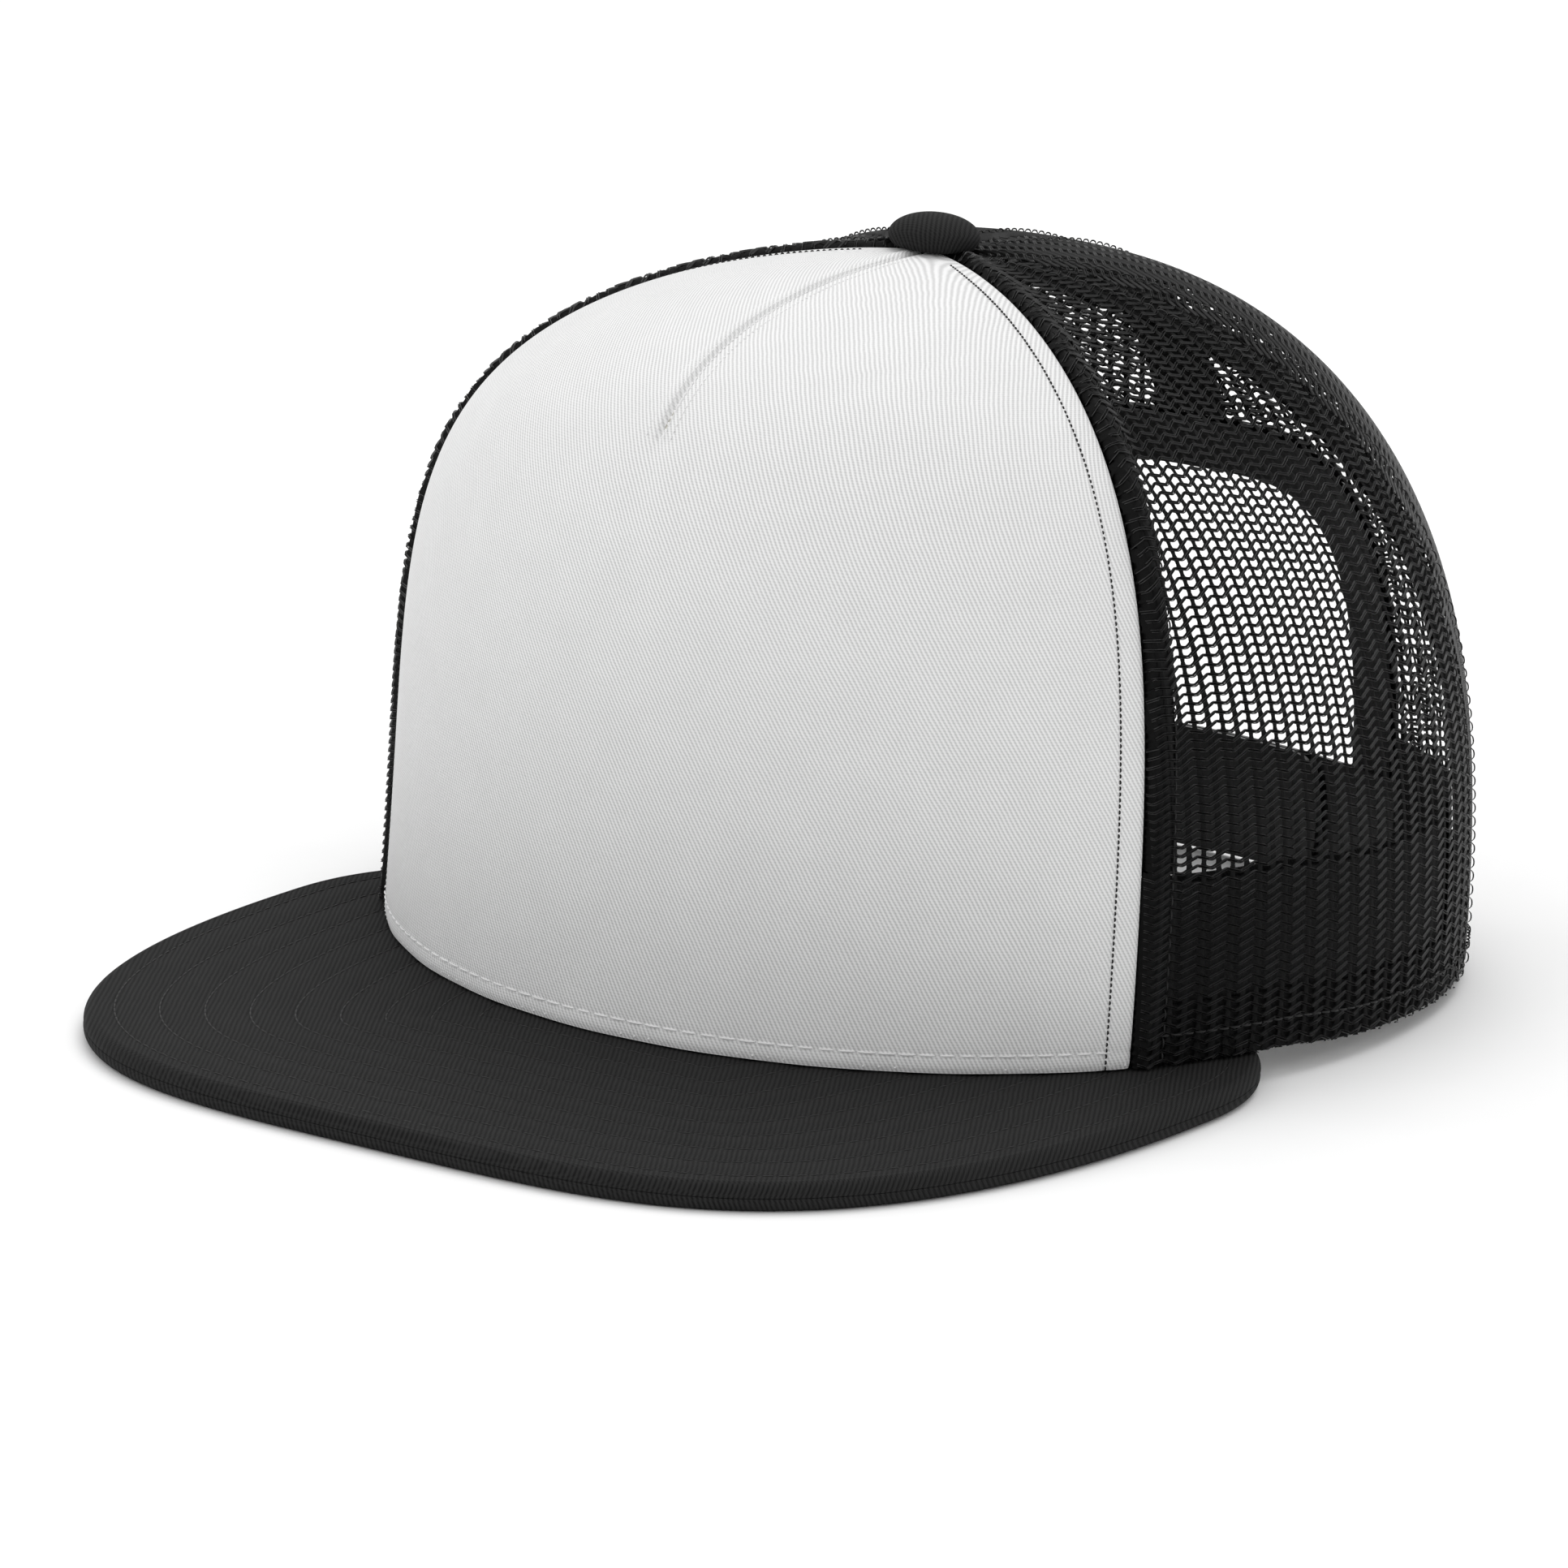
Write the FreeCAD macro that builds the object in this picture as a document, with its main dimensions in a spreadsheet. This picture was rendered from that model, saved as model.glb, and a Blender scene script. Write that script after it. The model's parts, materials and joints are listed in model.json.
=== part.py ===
import FreeCAD, Part
import Sketcher
import math
import os

# Trucker mesh cap with a flat visor and a snap strap, as a parametric document in millimetres.
#
# The cap rests on the flat underside of its visor. The origin lies on that floor, below the middle
# of the cap. -Y is the front, +X is the wearer's left and +Z is up. Everything sewn into the crown
# is modelled in the crown's own frame, with the rim plane at z = 0 and the crown's middle at
# x = y = 0, and one shared placement leans the crown back onto the floor.

Vector = FreeCAD.Vector

SIZES = [
    # crown: outside form
    ("rim_half_width", 88.0),
    ("rim_half_length", 96.0),
    ("rim_flare", 1.0),
    ("rim_back_power", 2.2),
    ("crown_height", 120.0),
    ("pole_forward", 13.0),
    ("round_power_front", 2.2),
    ("round_power_side", 1.85),
    ("round_power_back", 3.2),
    ("rise_power_front", 7.5),
    ("rise_power_side", 3.0),
    ("rise_power_back", 3.5),
    # crown: how it sits on the visor
    ("crown_tilt", 1.8),
    ("tilt_pivot", 60.0),
    ("crown_lift", 0.4),
    ("visor_clearance", 0.3),
    ("crown_setback", 33.6),
    # panels and seams
    ("front_seam_azimuth", 54.0),
    ("front_seam_swing", 9.0),
    ("side_seam_azimuth", 121.0),
    ("seam_gap", 0.1),
    ("panel_hole_radius", 3.2),
    ("cloth_thickness", 0.8),
    ("mesh_thickness", 0.9),
    ("buckram_thickness", 0.6),
    ("buckram_turn_in", 6.0),
    ("layer_gap", 0.12),
    # tapes and hems
    ("tape_width", 14.0),
    ("tape_thickness", 0.5),
    ("tape_fan", 0.45),
    ("dart_length", 26.0),
    ("hem_height", 10.0),
    ("binding_width", 9.0),
    ("binding_thickness", 0.55),
    ("arch_half_width", 33.0),
    ("arch_height", 71.0),
    ("arch_power", 4.0),
    # sweatband
    ("band_height", 31.0),
    ("band_depth", 2.5),
    ("band_foam_thickness", 1.0),
    ("band_cloth_thickness", 0.6),
    ("band_end_azimuth", 150.0),
    ("foam_end_azimuth", 112.0),
    # visor
    ("visor_half_width", 91.8),
    ("visor_reach", 165.2),
    ("visor_widest_at", 57.1),
    ("visor_side_power", 3.7),
    ("visor_front_power", 2.28),
    ("visor_back_curve", 49.8),
    ("visor_thickness", 4.8),
    ("visor_tuck", 4.2),
    ("visor_edge_round", 1.7),
    ("visor_seam_gap", 0.1),
    ("board_inset", 1.3),
    ("board_thickness", 3.2),
    ("board_clearance", 0.05),
    # button
    ("button_radius", 7.75),
    ("button_height", 6.2),
    ("button_cloth", 0.7),
    ("button_metal", 0.6),
    ("button_skirt", 0.5),
    ("button_skirt_height", 1.2),
    ("button_shoulder", 2.4),
    ("button_shank_radius", 1.3),
    ("button_washer_radius", 7.0),
    ("button_washer_thickness", 0.8),
    ("button_washer_gap", 0.9),
    # snap strap
    ("strap_radius", 97.0),
    ("strap_centre_back", 2.3),
    ("strap_thickness", 1.2),
    ("strap_lap_gap", 0.3),
    ("strap_bottom", 0.6),
    ("strap_height", 21.2),
    ("strap_end_round", 7.5),
    ("strap_root_angle", 18.5),
    ("strap_free_angle", 16.5),
    ("tab_gap_angle", 0.25),
    ("tab_end_angle", 28.5),
    ("snap_pitch_angle", 5.0),
    ("hole_radius", 2.7),
    ("peg_radius", 1.8),
    ("peg_proud", 0.9),
]
SNAP_COUNT = 6

doc = FreeCAD.newDocument("TruckerCap")
sheet = doc.addObject("Spreadsheet::Sheet", "Sizes")
for row, (alias, value) in enumerate(SIZES, start=1):
    sheet.set(f"A{row}", alias)
    sheet.set(f"B{row}", str(value))
    sheet.setAlias(f"B{row}", alias)
doc.recompute()


def size(alias):
    """One driving dimension, read back from the sheet."""
    return float(sheet.get(alias))


SUB_PARTS = []


def keep(part, label, place=None):
    """Give a sub-part its label and its placement, and put it on the list to write."""
    part.Label = label
    if place:
        place(part)
    SUB_PARTS.append(part)
    return part


def place_on_crown(part):
    """Lean a crown piece back about a cross axis near the front, so the rear rim comes down to the floor."""
    part.Placement = FreeCAD.Placement(
        Vector(0, 0, 0), FreeCAD.Rotation(Vector(1, 0, 0), -size("crown_tilt"))
    )
    part.setExpression(
        "Placement.Base.y",
        "Sizes.crown_setback - Sizes.tilt_pivot * (1 - cos(Sizes.crown_tilt))",
    )
    part.setExpression(
        "Placement.Base.z",
        "Sizes.visor_thickness + Sizes.crown_lift"
        " - Sizes.tilt_pivot * sin(Sizes.crown_tilt)",
    )


def place_on_visor(part):
    """Visor pieces are drawn about the crown's middle and only move back with it."""
    part.setExpression("Placement.Base.y", "Sizes.crown_setback")


# ---------------------------------------------------------------------------------------------
# The crown's surface
# ---------------------------------------------------------------------------------------------


def around(front, side, back, azimuth):
    """A value that runs from front through side to back as the azimuth goes round from -Y."""
    along = math.cos(math.radians(azimuth))
    end = front if along > 0 else back
    return size(side) + (size(end) - size(side)) * along**2


def rim_radius(azimuth):
    """Distance from the crown's middle to the rim: an ellipse in front, squarer behind."""
    angle = math.radians(azimuth)
    power = 2.0 if math.cos(angle) > 0 else size("rim_back_power")
    wide = abs(math.sin(angle) / size("rim_half_width")) ** power
    long = abs(math.cos(angle) / size("rim_half_length")) ** power
    return (wide + long) ** (-1 / power)


def powers(azimuth):
    """How round and how steep the crown's upright section is at an azimuth."""
    roundness = around("round_power_front", "round_power_side", "round_power_back", azimuth)
    steepness = around("rise_power_front", "rise_power_side", "rise_power_back", azimuth)
    return roundness, steepness


def climb_at(azimuth, height):
    """The climb, 0 at the rim plane and 1 at the pole, where the section reaches a height."""
    share = height / size("crown_height")
    if share <= 0:
        return share * 2 / math.pi
    roundness, steepness = powers(azimuth)
    return math.atan2(share, (1 - share**steepness) ** (1 / roundness)) * 2 / math.pi


def climb_near_pole(azimuth, radius):
    """The climb where the crown has closed in to a small radius about the pole."""
    return math.acos(radius / rim_radius(azimuth)) * 2 / math.pi


def surface_point(azimuth, climb):
    """A point of the crown's outer surface."""
    roundness, steepness = powers(azimuth)
    angle = climb * math.pi / 2
    share = angle
    out = 1.0
    if climb > 0:
        near, far = 0.0, 2.0
        for _ in range(45):
            reach = (near + far) / 2
            out = reach * math.cos(angle)
            share = reach * math.sin(angle)
            if out**roundness + share**steepness > 1:
                far = reach
            else:
                near = reach
    fade = max(0.0, 1 - max(share, 0.0) ** steepness) ** 0.5
    radius = rim_radius(azimuth) * out + size("rim_flare") * (1 - max(share, 0.0)) ** 2 * fade
    turn = math.radians(azimuth)
    forward = size("pole_forward") * max(share, 0.0) ** 2
    return Vector(
        radius * math.sin(turn),
        -radius * math.cos(turn) - forward,
        size("crown_height") * share,
    )


def crown_point(azimuth, climb, depth):
    """A point at a depth inside the crown's outer surface, measured square to it."""
    step = 0.05
    rise = 0.0005
    across = surface_point(azimuth + step, climb) - surface_point(azimuth - step, climb)
    upward = surface_point(azimuth, climb + rise) - surface_point(azimuth, climb - rise)
    inward = upward.cross(across)
    inward.normalize()
    return surface_point(azimuth, climb) + inward * depth


def rim_height(azimuth):
    """Lower edge of the crown: on the visor's top in front, the rim plane behind it."""
    slope = math.tan(math.radians(size("crown_tilt")))
    y = surface_point(azimuth, 0.0).y
    behind_visor = -25.0
    fade_length = 15.0

    def visor_top(at_y):
        """Height of the visor's top above the rim plane."""
        return slope * (at_y + size("tilt_pivot")) - size("crown_lift") + size("visor_clearance")

    if y < behind_visor:
        return visor_top(y)
    return visor_top(behind_visor) * math.exp(-(((y - behind_visor) / fade_length) ** 2))


def skin(points):
    """A smooth surface through a grid of points."""
    surface = Part.BSplineSurface()
    surface.interpolate(points)
    return surface


def solid_between(outer_points, inner_points):
    """The closed solid between two grids with the same rows and columns."""
    outer = skin(outer_points)
    inner = skin(inner_points)
    faces = [outer.toShape(), inner.toShape()]
    u0, u1, v0, v1 = outer.bounds()
    a0, a1, b0, b1 = inner.bounds()
    edges = [
        (outer.uIso(u0), inner.uIso(a0)),
        (outer.uIso(u1), inner.uIso(a1)),
        (outer.vIso(v0), inner.vIso(b0)),
        (outer.vIso(v1), inner.vIso(b1)),
    ]
    for outer_edge, inner_edge in edges:
        faces.append(Part.makeRuledSurface(outer_edge.toShape(), inner_edge.toShape()))
    shell = Part.makeShell(faces)
    shell.sewShape()
    solid = Part.makeSolid(shell)
    if solid.Volume < 0:
        solid.reverse()
    return solid


def spread(low, high, count):
    """Evenly spaced values from low to high."""
    return [low + (high - low) * k / (count - 1) for k in range(count)]


def layer(left, right, low, high, depth, thickness, columns, rows):
    """A layer of the crown.

    left and right give the azimuth of its side edges at a climb, low and high give the climb of
    its lower and upper edges at an azimuth. It lies from depth to depth + thickness under the
    crown's outer surface.
    """
    grids = []
    for sheet_depth in (depth, depth + thickness):
        grid = []
        for across in spread(0.0, 1.0, columns):
            guess = left(0.3) + (right(0.3) - left(0.3)) * across
            column = []
            for up in spread(0.0, 1.0, rows):
                climb = low(guess) + (high(guess) - low(guess)) * up
                azimuth = left(climb) + (right(climb) - left(climb)) * across
                column.append(crown_point(azimuth, climb, sheet_depth))
            grid.append(column)
        grids.append(grid)
    return solid_between(*grids)


def front_seam(climb):
    """Azimuth of the seam between the front panel and a side panel."""
    return size("front_seam_azimuth") + size("front_seam_swing") * max(climb, 0.0) ** 3


def side_seam(climb):
    """Azimuth of the seam between a side panel and a back panel."""
    return size("side_seam_azimuth")


def back_seam(climb):
    """Azimuth of the seam between the two back panels."""
    return 180.0


def reach_at(azimuth, climb):
    """Horizontal distance from the pole's axis, which turns a width into an angle."""
    point = surface_point(azimuth, climb)
    lean = size("pole_forward") * (max(point.z, 0.0) / size("crown_height")) ** 2
    return math.hypot(point.x, point.y + lean)


def seam_edge(seam, side, sign):
    """A panel's edge, half a seam gap to one side of a seam, on the left or the right of the cap."""

    def edge(climb):
        azimuth = seam(climb)
        angle = math.degrees(size("seam_gap") / reach_at(azimuth, climb))
        return sign * (azimuth + side * angle)

    return edge


def from_rim(azimuth):
    """Lower edge on the rim."""
    return climb_at(azimuth, rim_height(azimuth))


def above_rim(height):
    """Lower or upper edge a height above the rim."""
    return lambda azimuth: climb_at(azimuth, rim_height(azimuth) + height)


def to_pole(radius):
    """Upper edge on a small circle about the pole."""
    return lambda azimuth: climb_near_pole(azimuth, radius)


def feature(label, shape):
    """A crown piece whose shape comes from the crown's surface."""
    part = doc.addObject("Part::Feature", label)
    part.Shape = shape
    return keep(part, label, place_on_crown)


# ---------------------------------------------------------------------------------------------
# Crown panels, their stiffener, seam tapes and hems
# ---------------------------------------------------------------------------------------------

SIDES = {"left": 1, "right": -1}
PANEL_TOP = to_pole(size("panel_hole_radius"))
INNER_TOP = to_pole(size("panel_hole_radius") + 0.3)
BUCKRAM_DEPTH = size("cloth_thickness") + size("layer_gap")
HEM_DEPTH = size("mesh_thickness") + size("layer_gap")
TAPE_DEPTH = HEM_DEPTH + size("buckram_thickness") + size("layer_gap")
BAND_DEPTH = size("band_depth")
ARCH_WALL = (140.0, 220.0)


def make_front_panel():
    """One piece of cloth from seam to seam, with its stiffener behind it."""
    feature(
        "front_panel",
        layer(
            seam_edge(front_seam, -1, -1), seam_edge(front_seam, -1, 1), from_rim, PANEL_TOP,
            0.0, size("cloth_thickness"), 15, 15,
        ),
    )
    turn_in = size("buckram_turn_in")
    soften = 3 * turn_in

    def inner_edge(sign):
        """The stiffener stops short of the seam, where the cloth turns in."""

        def edge(climb):
            azimuth = front_seam(climb)
            angle = turn_in / math.hypot(reach_at(azimuth, climb), soften)
            return sign * (azimuth - math.degrees(angle))

        return edge

    feature(
        "front_buckram",
        layer(
            inner_edge(-1), inner_edge(1), from_rim, INNER_TOP,
            BUCKRAM_DEPTH, size("buckram_thickness"), 13, 15,
        ),
    )


def make_side_panels():
    """The mesh panels over the ears."""
    for name, sign in SIDES.items():
        feature(
            f"side_mesh_{name}",
            layer(
                seam_edge(front_seam, 1, sign), seam_edge(side_seam, -1, sign), from_rim, PANEL_TOP,
                0.0, size("mesh_thickness"), 11, 15,
            ),
        )


def arch_prism(label, grow):
    """A bar as deep as the rear wall, with the arch's outline grown by a margin."""
    half_width = size("arch_half_width") + grow
    height = size("arch_height") + grow
    power = size("arch_power")
    front_y = 40.0
    depth = 90.0
    below = 12.0
    points = []
    for angle in spread(0.0, 180.0, 25):
        turn = math.radians(angle)
        x = math.copysign(abs(math.cos(turn)) ** (2 / power), math.cos(turn))
        z = abs(math.sin(turn)) ** (2 / power)
        points.append(Vector(half_width * x, front_y, height * z))
    curve = Part.BSplineCurve()
    curve.interpolate(points)
    right, left = points[0], points[-1]
    base = [right, right - Vector(0, 0, below), left - Vector(0, 0, below), left]
    lines = [Part.makeLine(a, b) for a, b in zip(base, base[1:])]
    outline = Part.Wire([curve.toShape()] + lines[::-1])
    prism = doc.addObject("Part::Feature", label)
    prism.Shape = Part.Face(outline).extrude(Vector(0, depth, 0))
    return prism


def helper(label, shape):
    """A shape that only takes part in a boolean."""
    part = doc.addObject("Part::Feature", label)
    part.Shape = shape
    return part


def boolean(kind, label, base, tool):
    """A boolean of two objects of the document."""
    part = doc.addObject(kind, label)
    part.Base = base
    part.Tool = tool
    return part


def make_back_panels():
    """The mesh panels behind, cut away over the snap strap by the arch."""
    arch = arch_prism("arch_outline", 0.0)
    for name, sign in SIDES.items():
        whole = helper(
            f"back_mesh_{name}_uncut",
            layer(
                seam_edge(side_seam, 1, sign), seam_edge(back_seam, -1, sign), from_rim, PANEL_TOP,
                0.0, size("mesh_thickness"), 11, 15,
            ),
        )
        panel = boolean("Part::Cut", f"back_mesh_{name}_cut", whole, arch)
        keep(panel, f"back_mesh_{name}", place_on_crown)


def make_arch_binding():
    """A tape folded over the arch's edge, inside and outside the mesh."""
    left, right = ARCH_WALL
    gap = size("layer_gap")
    fold = size("binding_thickness") + gap
    wall_over_arch = 14.0
    slot_margin = 2.0
    slot_below = above_rim(-5.0)

    def wall(label, outside, inside, margin, low):
        """The rear wall over the arch, thickened outward and inward."""
        return helper(
            label,
            layer(
                lambda climb: left - margin, lambda climb: right + margin,
                low, above_rim(size("arch_height") + wall_over_arch + margin),
                -outside, outside + inside, 15, 11,
            ),
        )

    wide = arch_prism("binding_outline", size("binding_width"))
    narrow = arch_prism("binding_inner_outline", -fold)
    clear = arch_prism("binding_edge_outline", -gap)
    whole = wall("binding_wall", fold, size("mesh_thickness") + fold, 0.0, from_rim)
    slot = wall("binding_slot", gap, size("mesh_thickness") + gap, slot_margin, slot_below)
    band = boolean("Part::Common", "binding_band", whole, wide)
    band = boolean("Part::Cut", "binding_ring", band, narrow)
    groove = boolean("Part::Cut", "binding_groove", slot, clear)
    binding = boolean("Part::Cut", "arch_binding_fold", band, groove)
    keep(binding, "arch_binding", place_on_crown)


def tape(label, seam, sign, low, depth):
    """A tape centred on a seam, as wide as the sheet says and fanning in towards the pole."""
    half = size("tape_width") / 2
    soften = half / size("tape_fan")

    def edge(side):
        def azimuth_at(climb):
            azimuth = seam(climb)
            angle = math.degrees(half / math.hypot(reach_at(azimuth, climb), soften))
            return sign * azimuth + side * angle
        return azimuth_at

    feature(
        label,
        layer(
            edge(-1), edge(1), low, INNER_TOP,
            depth, size("tape_thickness"), 5, 15,
        ),
    )


def make_seam_tapes():
    """Tapes over the seams inside the crown, from the button down to the hem."""
    above_hem = above_rim(size("hem_height") + 0.3)
    above_arch = above_rim(size("arch_height") + size("binding_width") + 2.0)
    above_band = above_rim(size("band_height") + 1.0)
    for name, sign in SIDES.items():
        tape(f"seam_tape_front_{name}", front_seam, sign, above_band, TAPE_DEPTH)
        tape(f"seam_tape_side_{name}", side_seam, sign, above_hem, TAPE_DEPTH)
    tape("seam_tape_back", back_seam, 1, above_arch, TAPE_DEPTH)
    dart_foot = above_rim(size("crown_height") - size("dart_length"))
    tape("front_dart_tape", lambda climb: 0.0, 1, dart_foot, TAPE_DEPTH)


def make_hems():
    """The turned-up lower edge of the mesh, from the front seam to the arch."""
    hem_end = 149.0
    seam_clear = 4
    for name, sign in SIDES.items():
        feature(
            f"mesh_hem_{name}",
            layer(
                seam_edge(front_seam, seam_clear, sign), lambda climb, s=sign: s * hem_end,
                from_rim, above_rim(size("hem_height")),
                HEM_DEPTH, size("buckram_thickness"), 17, 4,
            ),
        )


def make_sweatband():
    """A folded cloth band around the rim with foam behind it at the front and sides."""
    foam = size("band_foam_thickness")
    end = size("band_end_azimuth")
    foam_end = size("foam_end_azimuth")
    foam_margin = 1.2
    feature(
        "sweatband",
        layer(
            lambda climb: -end, lambda climb: end, from_rim, above_rim(size("band_height")),
            BAND_DEPTH + foam + size("layer_gap"), size("band_cloth_thickness"), 33, 5,
        ),
    )
    feature(
        "sweatband_foam",
        layer(
            lambda climb: -foam_end, lambda climb: foam_end,
            above_rim(foam_margin), above_rim(size("band_height") - foam_margin),
            BAND_DEPTH, foam, 25, 5,
        ),
    )


# ---------------------------------------------------------------------------------------------
# Sketch helpers
# ---------------------------------------------------------------------------------------------


def new_body(name):
    """An empty body."""
    return doc.addObject("PartDesign::Body", name)


def plane(body, role):
    """One of a body's own origin planes or axes."""
    return next(f for f in body.Origin.OriginFeatures if f.Role == role)


def sketch_on(body, role, name, offset=None):
    """A sketch on an origin plane of the body."""
    sketch = body.newObject("Sketcher::SketchObject", name)
    sketch.AttachmentSupport = [(plane(body, role), "")]
    sketch.MapMode = "FlatFace"
    if offset is not None:
        sketch.AttachmentOffset = FreeCAD.Placement(Vector(0, 0, offset), FreeCAD.Rotation())
    return sketch


def bind(owner, name, constraint, expression):
    """Name a sketch's constraint and drive it from the sheet."""
    index = owner.addConstraint(constraint)
    owner.renameConstraint(index, name)
    owner.setExpression(f"Constraints.{name}", expression)


def pad(body, sketch, name, length, reverse=False):
    """A pad whose length comes from the sheet."""
    part = body.newObject("PartDesign::Pad", name)
    part.Profile = sketch
    part.Reversed = reverse
    part.setExpression("Length", length)
    return part


def pocket(body, sketch, name, length, reverse=False):
    """A pocket whose depth comes from the sheet."""
    part = body.newObject("PartDesign::Pocket", name)
    part.Profile = sketch
    part.Reversed = reverse
    part.setExpression("Length", length)
    return part


# ---------------------------------------------------------------------------------------------
# Visor
# ---------------------------------------------------------------------------------------------


def visor_rim_point(angle, inset):
    """A point of the visor's outer edge, moved in square to that edge."""

    def edge(turn):
        side = math.cos(turn)
        front = math.sin(turn)
        x = math.copysign(abs(side) ** (2 / size("visor_side_power")), side) * size("visor_half_width")
        depth = size("visor_reach") - size("visor_widest_at")
        if front < 0:
            depth = -size("visor_back_curve")
        y = -size("visor_widest_at") - depth * abs(front) ** (2 / size("visor_front_power"))
        return Vector(x, y, 0)

    step = 0.01
    along = edge(angle + step) - edge(angle - step)
    along.normalize()
    return edge(angle) + Vector(along.y, -along.x, 0) * inset


def visor_outline(sketch, inset):
    """The visor's edge as a spline, closed by an elliptical arc that follows the crown's front."""
    half_width = size("rim_half_width") - size("visor_tuck") + inset
    half_length = size("rim_half_length") - size("visor_tuck") + inset

    def inside(angle):
        """True where the visor's edge has run in under the crown."""
        point = visor_rim_point(angle, inset)
        return (point.x / half_width) ** 2 + (point.y / half_length) ** 2 < 1

    low, high = -math.pi / 2 + 0.05, 0.0
    for _ in range(50):
        middle = (low + high) / 2
        if inside(middle):
            low = middle
        else:
            high = middle
    tip_angle = high
    angles = spread(tip_angle, math.pi - tip_angle, 33)
    points = [visor_rim_point(angle, inset) for angle in angles]
    edge = Part.BSplineCurve()
    edge.interpolate(points)
    sketch.addGeometry(edge, False)
    ellipse = Part.Ellipse(Vector(0, 0, 0), half_length, half_width)
    ellipse.rotate(FreeCAD.Placement(Vector(0, 0, 0), FreeCAD.Rotation(Vector(0, 0, 1), -90)))
    start = ellipse.parameter(points[-1])
    finish = ellipse.parameter(points[0])
    sketch.addGeometry(Part.ArcOfEllipse(ellipse, start, finish), False)


def visor_cover(label, top):
    """A cloth cover that takes half of the visor's thickness and wraps the board's edge."""
    body = new_body(label + "_body")
    half = "(Sizes.visor_thickness - Sizes.visor_seam_gap) / 2"
    outline = sketch_on(body, "XY_Plane", label + "_outline")
    visor_outline(outline, 0.0)
    skin_pad = pad(body, outline, label + "_pad", half)
    recess = sketch_on(body, "XY_Plane", label + "_recess")
    visor_outline(recess, size("board_inset"))
    doc.recompute()
    top_face = max(skin_pad.Shape.Faces, key=lambda face: face.CenterOfMass.z)
    past_crown = -size("rim_half_length") - 10
    rim_edges = [edge for edge in top_face.Edges if edge.BoundBox.YMin < past_crown]
    names = [
        f"Edge{number}"
        for number, edge in enumerate(skin_pad.Shape.Edges, start=1)
        if any(edge.isSame(found) for found in rim_edges)
    ]
    rounding = body.newObject("PartDesign::Fillet", label + "_edge")
    rounding.Base = (skin_pad, names)
    rounding.setExpression("Radius", "Sizes.visor_edge_round")
    depth = "Sizes.board_thickness / 2 + Sizes.board_clearance - Sizes.visor_seam_gap / 2"
    pocket(body, recess, label + "_recess_cut", depth, reverse=True)
    doc.recompute()
    body.Placement = FreeCAD.Placement()
    if top:
        body.setExpression(
            "Placement.Base.z", "Sizes.visor_seam_gap / 2 + Sizes.visor_thickness / 2"
        )
    else:
        upside_down = FreeCAD.Rotation(Vector(0, 1, 0), 180)
        body.Placement = FreeCAD.Placement(Vector(0, 0, 0), upside_down)
        body.setExpression("Placement.Base.z", half)
    return keep(body, label, place_on_visor)


def make_visor():
    """A flat plastic board between two cloth covers that meet half-way up the edge."""
    visor_cover("visor_top_cloth", True)
    visor_cover("visor_under_cloth", False)
    body = new_body("visor_board_body")
    outline = sketch_on(body, "XY_Plane", "visor_board_outline")
    visor_outline(outline, size("board_inset") + size("board_clearance"))
    pad(body, outline, "visor_board_pad", "Sizes.board_thickness")
    body.setExpression("Placement.Base.z", "(Sizes.visor_thickness - Sizes.board_thickness) / 2")
    keep(body, "visor_board", place_on_visor)


# ---------------------------------------------------------------------------------------------
# Button
# ---------------------------------------------------------------------------------------------


def place_on_pole(part):
    """Button pieces are turned about an axis that stands on the crown's pole."""
    part.Placement = FreeCAD.Placement(
        Vector(0, 0, 0), FreeCAD.Rotation(Vector(1, 0, 0), -size("crown_tilt"))
    )
    part.setExpression(
        "Placement.Base.y",
        "Sizes.crown_setback - Sizes.tilt_pivot"
        " + (Sizes.tilt_pivot - Sizes.pole_forward) * cos(Sizes.crown_tilt)"
        " + Sizes.crown_height * sin(Sizes.crown_tilt)",
    )
    part.setExpression(
        "Placement.Base.z",
        "Sizes.visor_thickness + Sizes.crown_lift"
        " - (Sizes.tilt_pivot - Sizes.pole_forward) * sin(Sizes.crown_tilt)"
        " + Sizes.crown_height * cos(Sizes.crown_tilt)",
    )


def revolve(label, outline):
    """A body turned about Z from an outline of (radius, height) points in the XZ plane."""
    body = new_body(label + "_body")
    sketch = sketch_on(body, "XZ_Plane", label + "_outline")
    for element in outline:
        sketch.addGeometry(element, False)
    turned = body.newObject("PartDesign::Revolution", label + "_turn")
    turned.Profile = sketch
    turned.ReferenceAxis = (sketch, ["V_Axis"])
    turned.Angle = 360.0
    return keep(body, label, place_on_pole)


def dome_outline(radius, height, foot, shoulder):
    """A shallow arc over the axis and a tighter shoulder arc that ends upright above the foot."""
    centre_out = radius - shoulder
    drop = foot - height
    crown = (shoulder**2 - centre_out**2 - drop**2) / (2 * (drop + shoulder))
    crown_z = height - crown
    lean = math.atan2(foot - crown_z, centre_out)
    upward = Vector(0, 0, 1)
    over = Part.Circle(Vector(0, crown_z, 0), upward, crown)
    side = Part.Circle(Vector(centre_out, foot, 0), upward, shoulder)
    return [Part.ArcOfCircle(over, lean, math.pi / 2), Part.ArcOfCircle(side, 0.0, lean)]


def line(start, end):
    """A straight piece of an outline, from (radius, height) to (radius, height)."""
    return Part.LineSegment(Vector(*start, 0), Vector(*end, 0))


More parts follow.
